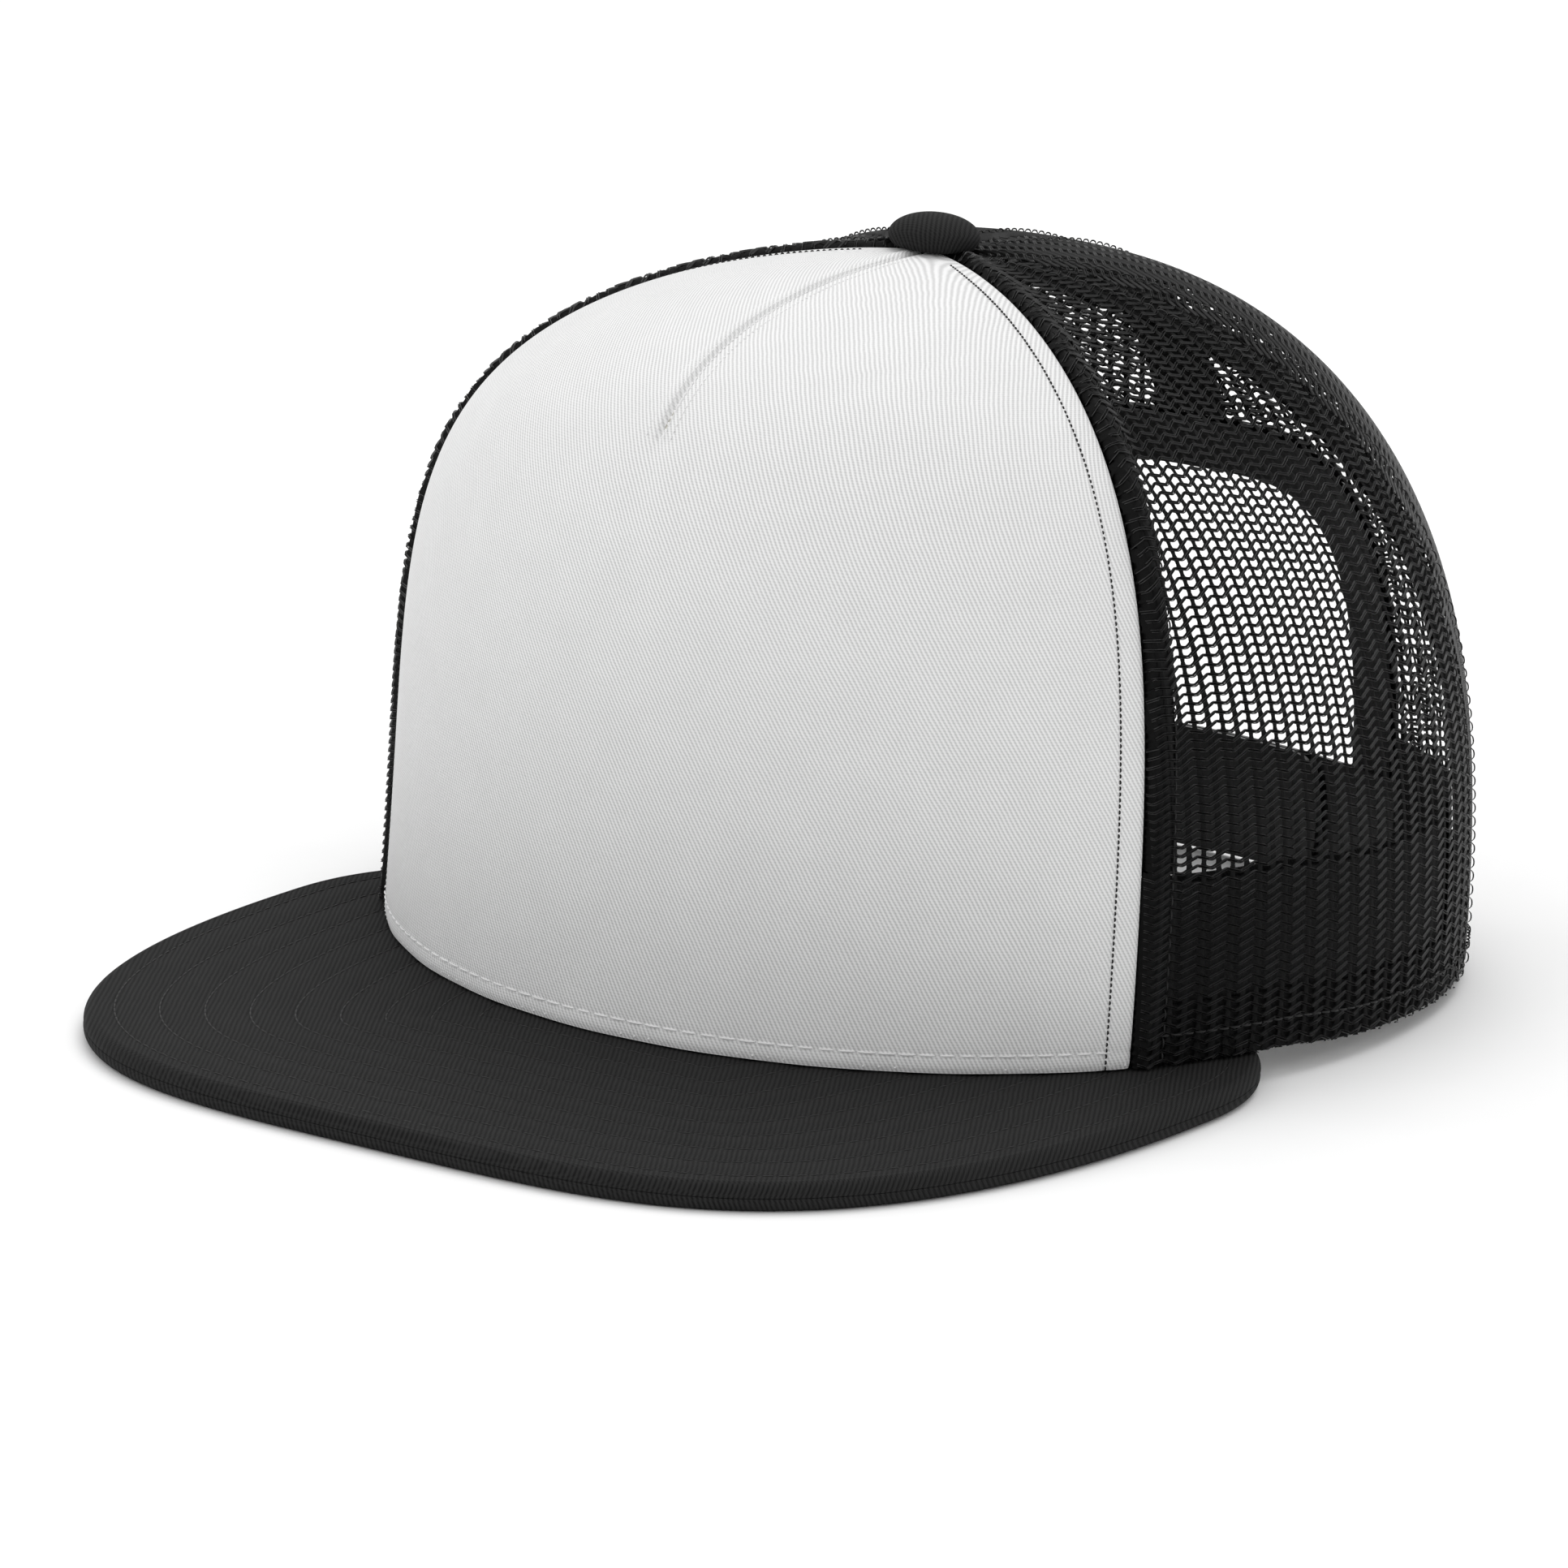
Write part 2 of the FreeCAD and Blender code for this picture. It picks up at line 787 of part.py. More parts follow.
def make_button():
    """A cloth-covered metal dome on a shank that passes through the panels to a washer inside."""
    foot = size("button_skirt")
    radius = size("button_radius")
    height = size("button_height")
    cloth = size("button_cloth")
    metal = size("button_metal")
    skirt = foot + size("button_skirt_height")
    shoulder = size("button_shoulder")

    def cup(label, inset, thickness):
        """A domed cup whose outer face lies an inset under the button's surface."""
        deeper = inset + thickness
        outer_radius, inner_radius = radius - inset, radius - deeper
        revolve(
            label,
            dome_outline(outer_radius, height - inset, skirt, shoulder - inset)
            + [line((0, height - inset), (0, height - deeper))]
            + dome_outline(inner_radius, height - deeper, skirt, shoulder - deeper)
            + [
                line((inner_radius, skirt), (inner_radius, foot)),
                line((inner_radius, foot), (outer_radius, foot)),
                line((outer_radius, foot), (outer_radius, skirt)),
            ],
        )

    play = 0.02
    cup("button_cloth", 0.0, cloth)
    cup("button_shell", cloth + play, metal)
    shank = size("button_shank_radius")
    washer_top = -(TAPE_DEPTH + size("tape_thickness") + size("button_washer_gap"))
    washer_bottom = washer_top - size("button_washer_thickness")
    washer = size("button_washer_radius")
    shank_top = height - cloth - metal - 0.2
    corners = [
        (0, shank_top), (shank, shank_top), (shank, washer_top), (washer, washer_top),
        (washer, washer_bottom), (0, washer_bottom), (0, shank_top),
    ]
    revolve("button_back", [line(a, b) for a, b in zip(corners, corners[1:])])


# ---------------------------------------------------------------------------------------------
# Snap strap
# ---------------------------------------------------------------------------------------------


def sector(sketch, outer, inner, start, finish):
    """A curved strip between two radii, from one angle to another, both measured from +X.

    The angles and radii are expressions on the sheet. The strip is fully constrained.
    """
    centre = Vector(0, 0, 0)
    upward = Vector(0, 0, 1)
    guess_out = size("strap_radius")
    guess_in = guess_out - size("strap_thickness")
    low, high = math.radians(70), math.radians(100)

    def at(radius, angle):
        """A point at a radius and an angle from +X."""
        return Vector(radius * math.cos(angle), radius * math.sin(angle), 0)

    for radius in (guess_out, guess_in):
        circle = Part.Circle(centre, upward, radius)
        sketch.addGeometry(Part.ArcOfCircle(circle, low, high), False)
    sketch.addGeometry(Part.LineSegment(at(guess_in, low), at(guess_out, low)), False)
    sketch.addGeometry(Part.LineSegment(at(guess_in, high), at(guess_out, high)), False)
    join = [("Coincident", 2, 1, 1, 1), ("Coincident", 2, 2, 0, 1)]
    join += [("Coincident", 3, 1, 1, 2), ("Coincident", 3, 2, 0, 2)]
    join += [("Coincident", 0, 3, -1, 1), ("Coincident", 1, 3, -1, 1)]
    join += [("PointOnObject", -1, 1, 2), ("PointOnObject", -1, 1, 3)]
    for constraint in join:
        sketch.addConstraint(Sketcher.Constraint(*constraint))
    bind(sketch, "outer", Sketcher.Constraint("Radius", 0, guess_out), outer)
    bind(sketch, "inner", Sketcher.Constraint("Radius", 1, guess_in), inner)
    bind(sketch, "start", Sketcher.Constraint("Angle", -1, 1, 2, 1, low), start)
    bind(sketch, "finish", Sketcher.Constraint("Angle", -1, 1, 3, 1, high), finish)


def place_strap(part):
    """Straps are drawn about the upright axis of their curve, behind the crown's middle."""
    place_on_crown(part)
    part.setExpression(
        "Placement.Base.y",
        "Sizes.crown_setback - Sizes.tilt_pivot"
        " + (Sizes.tilt_pivot - Sizes.strap_centre_back) * cos(Sizes.crown_tilt)",
    )
    part.setExpression(
        "Placement.Base.z",
        "Sizes.visor_thickness + Sizes.crown_lift"
        " - (Sizes.tilt_pivot - Sizes.strap_centre_back) * sin(Sizes.crown_tilt)",
    )


STRAP_FACES = {
    "hole_strap": ("Sizes.strap_radius", "Sizes.strap_radius - Sizes.strap_thickness"),
    "peg_strap": (
        "Sizes.strap_radius - Sizes.strap_thickness - Sizes.strap_lap_gap",
        "Sizes.strap_radius - 2 * Sizes.strap_thickness - Sizes.strap_lap_gap",
    ),
}


def strap_body(label, faces, start, finish):
    """A strip of strap standing on its lower edge."""
    body = new_body(label + "_body")
    sketch = sketch_on(body, "XY_Plane", label + "_strip")
    sketch.AttachmentOffset = FreeCAD.Placement(Vector(0, 0, size("strap_bottom")), FreeCAD.Rotation())
    sector(sketch, faces[0], faces[1], start, finish)
    strip = pad(body, sketch, label + "_pad", "Sizes.strap_height")
    doc.recompute()
    return body, strip


def round_free_end(body, strip, label, end_angle):
    """Round the two corners of the strap's free end, which stands at an angle from +X."""
    end_x = size("strap_radius") * math.cos(math.radians(end_angle))
    names = []
    for number, edge in enumerate(strip.Shape.Edges, start=1):
        box = edge.BoundBox
        flat = box.ZLength < 0.01 and edge.Length < size("strap_thickness") + 0.2
        if flat and abs(box.Center.x - end_x) < 1.5:
            names.append(f"Edge{number}")
    rounding = body.newObject("PartDesign::Fillet", label + "_end")
    rounding.Base = (strip, names)
    rounding.setExpression("Radius", "Sizes.strap_end_round")
    doc.recompute()
    return rounding


def snap_sketch(body, label, radius, depth):
    """A circle half-way up the strap, square to the strap's radius at the row's first snap."""
    sketch = sketch_on(body, "XZ_Plane", label, depth)
    sketch.addGeometry(Part.Circle(Vector(0, 10, 0), Vector(0, 0, 1), 2.0), False)
    sketch.addConstraint(Sketcher.Constraint("PointOnObject", 0, 3, -2))
    bind(sketch, "size", Sketcher.Constraint("Radius", 0, 2.0), radius)
    bind(
        sketch, "middle", Sketcher.Constraint("DistanceY", -1, 1, 0, 3, 10.0),
        "Sizes.strap_bottom + Sizes.strap_height / 2",
    )
    return sketch


def snap_row(body, first, label):
    """Repeat a snap about the strap's axis, evenly to both sides of the middle."""
    pitch = size("snap_pitch_angle")
    row = body.newObject("PartDesign::PolarPattern", label + "_row")
    row.Originals = [first]
    row.Axis = (plane(body, "Z_Axis"), [""])
    row.Angle = pitch * (SNAP_COUNT - 1)
    row.Occurrences = SNAP_COUNT
    body.Tip = row
    doc.recompute()
    return row


def make_straps():
    """Two plastic straps that lap in the arch, each sewn in by a tab at its root."""
    row_half = size("snap_pitch_angle") * (SNAP_COUNT - 1) / 2
    for label, sign in (("hole_strap", 1), ("peg_strap", -1)):
        faces = STRAP_FACES[label]
        # The body is drawn with its first snap on +Y, so it is turned back by half of the row.
        turn = row_half
        near = f"(90 + {turn}"
        root = f"{near} - {sign} * Sizes.strap_root_angle)"
        free = f"{near} + {sign} * Sizes.strap_free_angle)"
        start, finish = (root, free) if sign > 0 else (free, root)
        body, strip = strap_body(label, faces, start, finish)
        rounding = round_free_end(body, strip, label, 90 + turn + sign * size("strap_free_angle"))
        before = rounding.Shape.Volume
        if label == "hole_strap":
            circle = snap_sketch(body, label + "_hole", "Sizes.hole_radius", 0.0)
            first = pocket(body, circle, label + "_hole_cut", "Sizes.strap_radius + 5", reverse=False)
        else:
            depth = size("strap_radius") - size("strap_thickness") * 1.5 - size("strap_lap_gap")
            circle = snap_sketch(body, label + "_peg", "Sizes.peg_radius", -depth)
            length = "Sizes.strap_thickness * 1.5 + Sizes.strap_lap_gap + Sizes.peg_proud"
            first = pad(body, circle, label + "_peg_pad", length, reverse=True)
        doc.recompute()
        if abs(first.Shape.Volume - before) < 1.0:
            raise RuntimeError(f"{label}: the snap sketch misses the strap")
        snap_row(body, first, label)
        keep(body, label, place_strap)
        body.Placement.Rotation = (
            FreeCAD.Rotation(Vector(1, 0, 0), -size("crown_tilt"))
            * FreeCAD.Rotation(Vector(0, 0, 1), -turn)
        )
        gap = f"{sign} * Sizes.tab_gap_angle"
        inner_end = f"(90 - {sign} * Sizes.strap_root_angle - {gap})"
        outer_end = f"(90 - {sign} * Sizes.tab_end_angle)"
        start, finish = (outer_end, inner_end) if sign > 0 else (inner_end, outer_end)
        tab, _ = strap_body(label + "_tab", faces, start, finish)
        keep(tab, label + "_tab", place_strap)


make_front_panel()
make_side_panels()
make_back_panels()
make_arch_binding()
make_seam_tapes()
make_hems()
make_sweatband()
make_visor()
make_button()
make_straps()
doc.recompute()

for item in doc.Objects:
    if "Invalid" in item.State or "Error" in item.State:
        raise RuntimeError(f"{item.Label} failed: {item.State}")
os.makedirs("parts", exist_ok=True)
for part in SUB_PARTS:
    shape = part.Shape
    if shape.isNull() or not shape.isValid() or not shape.Solids:
        raise RuntimeError(f"{part.Label} has no valid solid")
    shape.exportStep(f"parts/{part.Label}.step")
    print(f"{part.Label}: {len(shape.Solids)} solid, {shape.Volume:.0f} mm3")
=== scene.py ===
import json
import logging
import math
from dataclasses import dataclass, field
from enum import Enum
from typing import Any, Callable

import bmesh
import bpy
import numpy as np
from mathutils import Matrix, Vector

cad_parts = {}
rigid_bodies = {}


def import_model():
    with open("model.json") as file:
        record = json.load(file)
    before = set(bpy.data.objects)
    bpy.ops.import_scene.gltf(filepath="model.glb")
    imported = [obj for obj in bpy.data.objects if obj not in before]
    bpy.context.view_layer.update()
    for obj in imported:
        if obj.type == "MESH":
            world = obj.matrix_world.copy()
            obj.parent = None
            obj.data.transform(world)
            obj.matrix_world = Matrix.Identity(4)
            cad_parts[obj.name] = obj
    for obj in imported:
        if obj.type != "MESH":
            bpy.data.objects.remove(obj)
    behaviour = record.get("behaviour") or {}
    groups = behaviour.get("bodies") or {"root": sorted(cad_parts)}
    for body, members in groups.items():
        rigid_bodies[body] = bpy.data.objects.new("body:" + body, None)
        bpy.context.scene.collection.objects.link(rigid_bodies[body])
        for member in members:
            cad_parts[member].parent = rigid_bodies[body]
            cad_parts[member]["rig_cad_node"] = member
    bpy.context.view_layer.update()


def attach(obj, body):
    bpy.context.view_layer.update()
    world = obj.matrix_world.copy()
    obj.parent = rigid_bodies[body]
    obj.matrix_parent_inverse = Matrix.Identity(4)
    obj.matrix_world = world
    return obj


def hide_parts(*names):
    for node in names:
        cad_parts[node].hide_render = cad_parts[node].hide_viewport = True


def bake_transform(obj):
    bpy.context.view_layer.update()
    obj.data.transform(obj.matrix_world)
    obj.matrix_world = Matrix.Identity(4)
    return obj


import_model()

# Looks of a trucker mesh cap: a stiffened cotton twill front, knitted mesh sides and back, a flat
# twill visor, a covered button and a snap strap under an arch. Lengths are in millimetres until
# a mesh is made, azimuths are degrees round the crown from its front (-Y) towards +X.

logging.basicConfig(level=logging.INFO, format="%(name)s: %(message)s")
LOG = logging.getLogger("cap")
MM = 0.001
# Points closer than this are one point, and an edge shorter than a sliver is dissolved, in metres.
WELD_REACH, SLIVER = 1e-6, 1e-7
Array = np.ndarray
Edge = Callable[[Array], Array]
Values = dict[str | int, Any]


class Side(Enum):
    """The two sides of the cap, as the wearer has them. The value is the sign of X."""

    LEFT = 1
    RIGHT = -1

    @property
    def label(self) -> str:
        """The side's name in lower case."""
        return self.name.lower()

    def in_order(self, near: Edge, far: Edge) -> tuple[Edge, Edge]:
        """A near and a far edge in the order of rising azimuth."""
        return (near, far) if self.value > 0 else (far, near)


class Slot(Enum):
    """Names of the material slots. The pieces are passed one, but their finish does not come from
    it.
    """

    FRONT_TWILL = "front_twill"
    BUCKRAM = "buckram"
    MESH = "mesh"
    BINDING = "binding"
    TAPE = "tape"
    SWEATBAND = "sweatband"
    FOAM = "foam"
    VISOR_TWILL = "visor_twill"
    BUTTON_METAL = "button_metal"
    STRAP = "strap"


# ---- Meshes ----


@dataclass
class Patch:
    """Part of a mesh: points in millimetres, faces, and each point's place on the flat cloth."""

    points: Array
    faces: list[Array]
    weave: Array

    def moved(self, change: Callable[[Array], Array]) -> "Patch":
        """The same faces on changed points."""
        return Patch(change(self.points), self.faces, self.weave)

    @staticmethod
    def joined(patches: list["Patch"]) -> "Patch":
        """Several patches as one, without welding them."""
        faces: list[Array] = []
        start = 0
        for patch in patches:
            faces += [f + start for f in patch.faces]
            start += len(patch.points)
        points = np.concatenate([patch.points for patch in patches])
        return Patch(points, faces, np.concatenate([patch.weave for patch in patches]))


def bell(offset: Array | float, width: float) -> Array:
    """A smooth hump of height 1, which falls to 1/e at a width from its middle."""
    return np.exp(-((offset / width) ** 2))


@dataclass(frozen=True)
class Hump:
    """A smooth change of depth across a line: how deep, how far from the line and how wide."""

    depth: float
    middle: float
    width: float

    def at(self, offset: Array) -> Array:
        """The depth at a distance from the line."""
        return self.depth * bell(offset - self.middle, self.width)


def unit(vectors: Array) -> Array:
    """The same directions, each of length 1."""
    return vectors / np.linalg.norm(vectors, axis=-1, keepdims=True)


def run_length(path: Array) -> Array:
    """Length along a path, from its first point to each of its points."""
    return np.concatenate([[0], np.cumsum(np.linalg.norm(np.diff(path, axis=0), axis=1))])


def quads_of(rows: int, columns: int, wrap: bool = False) -> Array:
    """Quads of a grid whose points are stored row by row.

    Args:
        rows: number of rows of points.
        columns: number of points in a row.
        wrap: whether the last row joins the first.

    Returns:
        An array of four point numbers a quad.
    """
    row = np.arange(rows if wrap else rows - 1)[:, None]
    column = np.arange(columns - 1)[None, :]
    after = (row + 1) % rows
    a, b = row * columns + column, row * columns + column + 1
    c, d = after * columns + column + 1, after * columns + column
    return np.stack([a, b, c, d], -1).reshape(-1, 4)


def closed_layer(outer: Array, inner: Array, weave: Array) -> Patch:
    """The closed skin between two grids of points.

    Args:
        outer: grid of points of the outer face.
        inner: grid of points of the inner face.
        weave: the points' places on the flat cloth.

    Returns:
        A patch with both faces and the four rims.
    """
    rows, columns = outer.shape[:2]
    count = rows * columns
    number = np.arange(count).reshape(rows, columns)
    rim = np.concatenate([number[0, :-1], number[:-1, -1], number[-1, :0:-1], number[:0:-1, 0]])
    after = np.roll(rim, -1)
    face = quads_of(rows, columns)
    side = np.stack([rim, rim + count, after + count, after], -1)
    points = np.concatenate([outer.reshape(-1, 3), inner.reshape(-1, 3)])
    flat = weave.reshape(-1, 2)
    return Patch(points, [face, face[:, ::-1] + count, side], np.concatenate([flat, flat]))


def compacted(points: Array, faces: list[Array], weave: Array) -> Patch:
    """A patch without the points that no face uses."""
    used = np.unique(np.concatenate([face.ravel() for face in faces]))
    renumber = np.zeros(len(points), np.int64)
    renumber[used] = np.arange(len(used))
    return Patch(points[used], [renumber[face] for face in faces], weave[used])


def ring_sweep(grid: Array, weave: Array) -> Patch:
    """A closed profile swept along a line, with flat ends.

    Args:
        grid: points, one row for each profile point and one column for each station.
        weave: the points' places on the flat cloth.

    Returns:
        A closed patch.
    """
    rows, columns = grid.shape[:2]
    number = np.arange(rows * columns).reshape(rows, columns)
    ends = np.stack([number[::-1, 0], number[:, -1]])
    return Patch(
        grid.reshape(-1, 3), [quads_of(rows, columns, wrap=True), ends], weave.reshape(-1, 2)
    )


def turned(profile: Array, segments: int) -> Patch:
    """A profile of (radius, height) points turned about the Z axis.

    Args:
        profile: outline from the axis round to the axis, or a closed ring away from it.
        segments: number of steps of a full turn.

    Returns:
        A patch of the turned surface.
    """
    turn = np.linspace(0, 2 * math.pi, segments, endpoint=False)
    radius, height = profile[:, 0][:, None], profile[:, 1][:, None]
    points = np.stack([radius * np.cos(turn), radius * np.sin(turn), height + 0 * turn], -1)
    rows = len(profile)
    first = np.arange(rows - 1)[:, None] * segments
    step = np.arange(segments)[None, :]
    after = (step + 1) % segments
    faces = np.stack(
        [first + step, first + after, first + segments + after, first + segments + step], -1
    )
    flat = points.reshape(-1, 3)
    return Patch(flat, [faces.reshape(-1, 4)], flat[:, :2].copy())


def piece_from(
    name: str, patch: Patch, material: bpy.types.Material, sharp: float = 45.0, weld: bool = False
) -> bpy.types.Object:
    """Make a mesh object of a patch.

    Args:
        name: the piece's name.
        patch: its points and faces, in millimetres in the row's frame.
        material: its finish.
        sharp: edges that fold by more than this angle, in degrees, stay sharp.
        weld: whether points that touch are merged and the faces turned to face outward.

    Returns:
        The new object.
    """
    mesh = bpy.data.meshes.new(name)
    sizes = np.concatenate([np.full(len(f), f.shape[1]) for f in patch.faces])
    loops = np.concatenate([f.ravel() for f in patch.faces]).astype(np.int32)
    starts = np.concatenate([[0], np.cumsum(sizes)[:-1]]).astype(np.int32)
    mesh.vertices.add(len(patch.points))
    mesh.vertices.foreach_set("co", (patch.points * MM).astype(np.float32).ravel())
    mesh.loops.add(len(loops))
    mesh.loops.foreach_set("vertex_index", loops)
    mesh.polygons.add(len(sizes))
    mesh.polygons.foreach_set("loop_start", starts)
    layer = mesh.uv_layers.new(name="weave")
    layer.data.foreach_set("uv", patch.weave[loops].astype(np.float32).ravel())
    mesh.update(calc_edges=True)
    mesh.validate()
    work = bmesh.new()
    work.from_mesh(mesh)
    if weld:
        bmesh.ops.remove_doubles(work, verts=work.verts, dist=WELD_REACH)
        bmesh.ops.dissolve_degenerate(work, edges=work.edges, dist=SLIVER)
    bmesh.ops.recalc_face_normals(work, faces=work.faces)
    work.to_mesh(mesh)
    work.free()
    mesh.polygons.foreach_set("use_smooth", np.ones(len(mesh.polygons), bool))
    mesh.set_sharp_from_angle(angle=math.radians(sharp))
    mesh.materials.append(material)
    made = bpy.data.objects.new(name, mesh)
    bpy.context.scene.collection.objects.link(made)
    LOG.info("%s: %d faces", name, len(mesh.polygons))
    return made


def crown_piece(
    name: str, patch: Patch, material: bpy.types.Material, slot: Slot, *nodes: str,
    sharp: float = 45.0, weld: bool = False,
) -> bpy.types.Object:
    """Make a piece that is fixed to the crown.

    Args:
        name: the piece's name.
        patch: its points and faces.
        material: its finish.
        slot: not used.
        nodes: the nodes that it stands for, where it stands for any.
        sharp: edges that fold by more than this angle, in degrees, stay sharp.
        weld: whether points that touch are merged.

    Returns:
        The new object.
    """
    piece = piece_from(name, patch, material, sharp, weld)
    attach(piece, "crown")
    if nodes:
        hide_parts(*nodes)
    return piece


# ---- Finishes ----


def linear(hex_colour: str) -> tuple[float, float, float, float]:
    """An sRGB hex colour as linear red, green, blue and alpha."""
    parts = [int(hex_colour[i : i + 2], 16) / 255 for i in (1, 3, 5)]
    low = [c / 12.92 if c <= 0.04045 else ((c + 0.055) / 1.055) ** 2.4 for c in parts]
    return (*low, 1.0)


def join(tree: bpy.types.NodeTree, node: bpy.types.Node, links: Values) -> bpy.types.Node:
    """Join sockets, or the first output of other nodes, to a node's inputs."""
    for key, source in links.items():
        socket = source.outputs[0] if isinstance(source, bpy.types.Node) else source
        tree.links.new(socket, node.inputs[key])
    return node


def add_node(
    tree: bpy.types.NodeTree, kind: str, settings: Values | None = None, links: Values | None = None
) -> bpy.types.Node:
    """Add a node with its settings and links.

    Args:
        tree: the node tree to add to.
        kind: the node's type, without the leading "ShaderNode".
        settings: values by input name or number, or by property name.
        links: nodes or sockets to join, by input name or number.

    Returns:
        The new node.
    """
    node = tree.nodes.new("ShaderNode" + kind)
    for key, value in (settings or {}).items():
        if isinstance(key, str) and hasattr(node, key) and key not in node.inputs:
            setattr(node, key, value)
        else:
            node.inputs[key].default_value = value
    return join(tree, node, links or {})


def blank_material(name: str, principled: Values) -> tuple[Any, Any, Any]:
    """A new material with one principled shader.

    Args:
        name: the material's name.
        principled: values of the shader's own sockets.

    Returns:
        The material, its node tree and its shader.
    """
    material = bpy.data.materials.new(name)
    material.use_nodes = True
    tree = material.node_tree
    tree.nodes.clear()
    shader = add_node(tree, "BsdfPrincipled", principled)
    add_node(tree, "OutputMaterial", None, {"Surface": shader})
    return material, tree, shader


def blended(first: str, second: str) -> Values:
    """Settings of a mix of two hex colours."""
    return {"data_type": "RGBA", MIX_A: linear(first), MIX_B: linear(second)}


# Numbers of the sockets of a mix of colours, which share their names with its other sockets.
MIX_SHARE, MIX_A, MIX_B, MIX_RESULT = 0, 6, 7, 2
# A wave texture's bands repeat every 2 pi / 20 units at scale 1.
WAVE_UNIT = 2 * math.pi / 20


@dataclass(frozen=True)
class TwillCloth:
    """Piece-dyed cotton twill, woven over two and under one.

    The eye sees fine slanting ridges, broken along their length by the crossing threads, over a
    soft, dull surface with a slight bloom of fibres at grazing angles. The furrows between the
    ridges are darker in the colour, as painted shade. Pitches are millimetres of
    cloth, drawn a little wider than life where the ridges would be too fine to show.
    """

    name: str
    ridge: str
    # Painted shade: the colour put into the furrows, darker than the ridges.
    furrow: str
    line_pitch: float
    line_slant: float
    thread_pitch: float
    relief: float
    roughness: float = 0.85
    sheen: float = 0.3
    fleck: float = 0.12
    specular: float = 0.16
    wander_per_mm: float = 0.11
    wander_by: float = 0.5
    slubs_per_mm: float = 1.9
    slub_share: float = 0.6
    thread_share: float = 0.35

    def material(self) -> bpy.types.Material:
        """Build the node material."""
        made, tree, shader = blank_material(
            self.name,
            {
                "Roughness": self.roughness, "IOR": 1.5, "Specular IOR Level": self.specular,
                "Sheen Weight": self.sheen, "Sheen Roughness": 0.5,
                "Sheen Tint": linear(self.ridge),
            },
        )
        weave = add_node(tree, "UVMap", {"uv_map": "weave"})
        noise = {"Scale": self.wander_per_mm, "Detail": 3.0, "Roughness": 0.6}
        wander = add_node(tree, "TexNoise", noise, {"Vector": weave})
        shift = {"operation": "SCALE", "Scale": self.wander_by}
        bent = add_node(tree, "VectorMath", shift, {0: wander.outputs["Color"]})
        place = add_node(tree, "VectorMath", {"operation": "ADD"}, {0: weave, 1: bent})
        bands = []
        for pitch, slant in ((self.line_pitch, self.line_slant), (self.thread_pitch, 90.0)):
            aim = {"vector_type": "TEXTURE", "Rotation": (0, 0, math.radians(slant))}
            aimed = add_node(tree, "Mapping", aim, {"Vector": place})
            wave = {"Scale": WAVE_UNIT / pitch, "Distortion": 0.0, "wave_profile": "SIN"}
            bands.append(add_node(tree, "TexWave", wave, {"Vector": aimed}).outputs["Fac"])
        noise = {"Scale": self.slubs_per_mm, "Detail": 4.0, "Roughness": 0.7}
        slub = add_node(tree, "TexNoise", noise, {"Vector": weave})
        scaled = {"operation": "MULTIPLY_ADD", 1: self.thread_share}
        broken = add_node(tree, "Math", scaled, {0: bands[1], 2: bands[0]})
        scaled = {"operation": "MULTIPLY_ADD", 1: self.slub_share}
        height = add_node(tree, "Math", scaled, {0: slub, 2: broken})
        span = {"From Min": 0.35, "From Max": 1.35, "To Min": 0.0, "To Max": 1.0}
        tone = add_node(tree, "MapRange", span, {"Value": height})
        # Painted shade: where the weave's height is low the colour falls from the ridge colour to
        # the furrow shade, on top of the bump. The slubs add random tone as well.
        dyed = add_node(tree, "Mix", blended(self.furrow, self.ridge), {MIX_SHARE: tone})
        span = {"From Min": 0.3, "From Max": 0.7, "To Min": 1 - self.fleck, "To Max": 1.0}
        fleck = add_node(tree, "MapRange", span, {"Value": wander})
        both = {0: dyed.outputs[MIX_RESULT], "Scale": fleck}
        shaded = add_node(tree, "VectorMath", {"operation": "SCALE"}, both)
        raised = {"Strength": 1.0, "Distance": self.relief * MM}
        bump = add_node(tree, "Bump", raised, {"Height": height})
        join(tree, shader, {"Base Color": shaded, "Normal": bump})
        return made


@dataclass(frozen=True)
class Filament:
    """Polyester filament yarn, knitted, braided or twisted.

    The eye sees a dark yarn with fine parallel filaments that catch narrow highlights. The grain
    is the width of a bundle of filaments in millimetres, since one filament is too fine to show.
    """

    name: str
    base: str
    light: str
    grain: float
    relief: float
    roughness: float = 0.45
    specular: float = 0.5
    dullness: tuple[float, float] = (-0.1, 0.12)
    cloud_per_m: float = 60.0
    cloud_share: float = 0.4

    def material(self) -> bpy.types.Material:
        """Build the node material."""
        made, tree, shader = blank_material(
            self.name, {"IOR": 1.54, "Specular IOR Level": self.specular}
        )
        place = {"Vector": add_node(tree, "TexCoord").outputs["Object"]}
        noise = {"Scale": 1 / (self.grain * MM), "Detail": 3.0, "Roughness": 0.65}
        fibre = add_node(tree, "TexNoise", noise, place)
        cloud = add_node(tree, "TexNoise", {"Scale": self.cloud_per_m, "Detail": 2.0}, place)
        scaled = {"operation": "MULTIPLY_ADD", 1: self.cloud_share}
        both = add_node(tree, "Math", scaled, {0: cloud, 2: fibre})
        tone = add_node(tree, "MapRange", {"From Min": 0.45, "From Max": 0.95}, {"Value": both})
        dyed = add_node(tree, "Mix", blended(self.base, self.light), {MIX_SHARE: tone})
        low, high = (self.roughness + change for change in self.dullness)
        dull = add_node(tree, "MapRange", {"To Min": low, "To Max": high}, {"Value": fibre})
        raised = {"Strength": 1.0, "Distance": self.relief * MM}
        bump = add_node(tree, "Bump", raised, {"Height": fibre})
        colour = dyed.outputs[MIX_RESULT]
        join(tree, shader, {"Base Color": colour, "Roughness": dull, "Normal": bump})
        return made


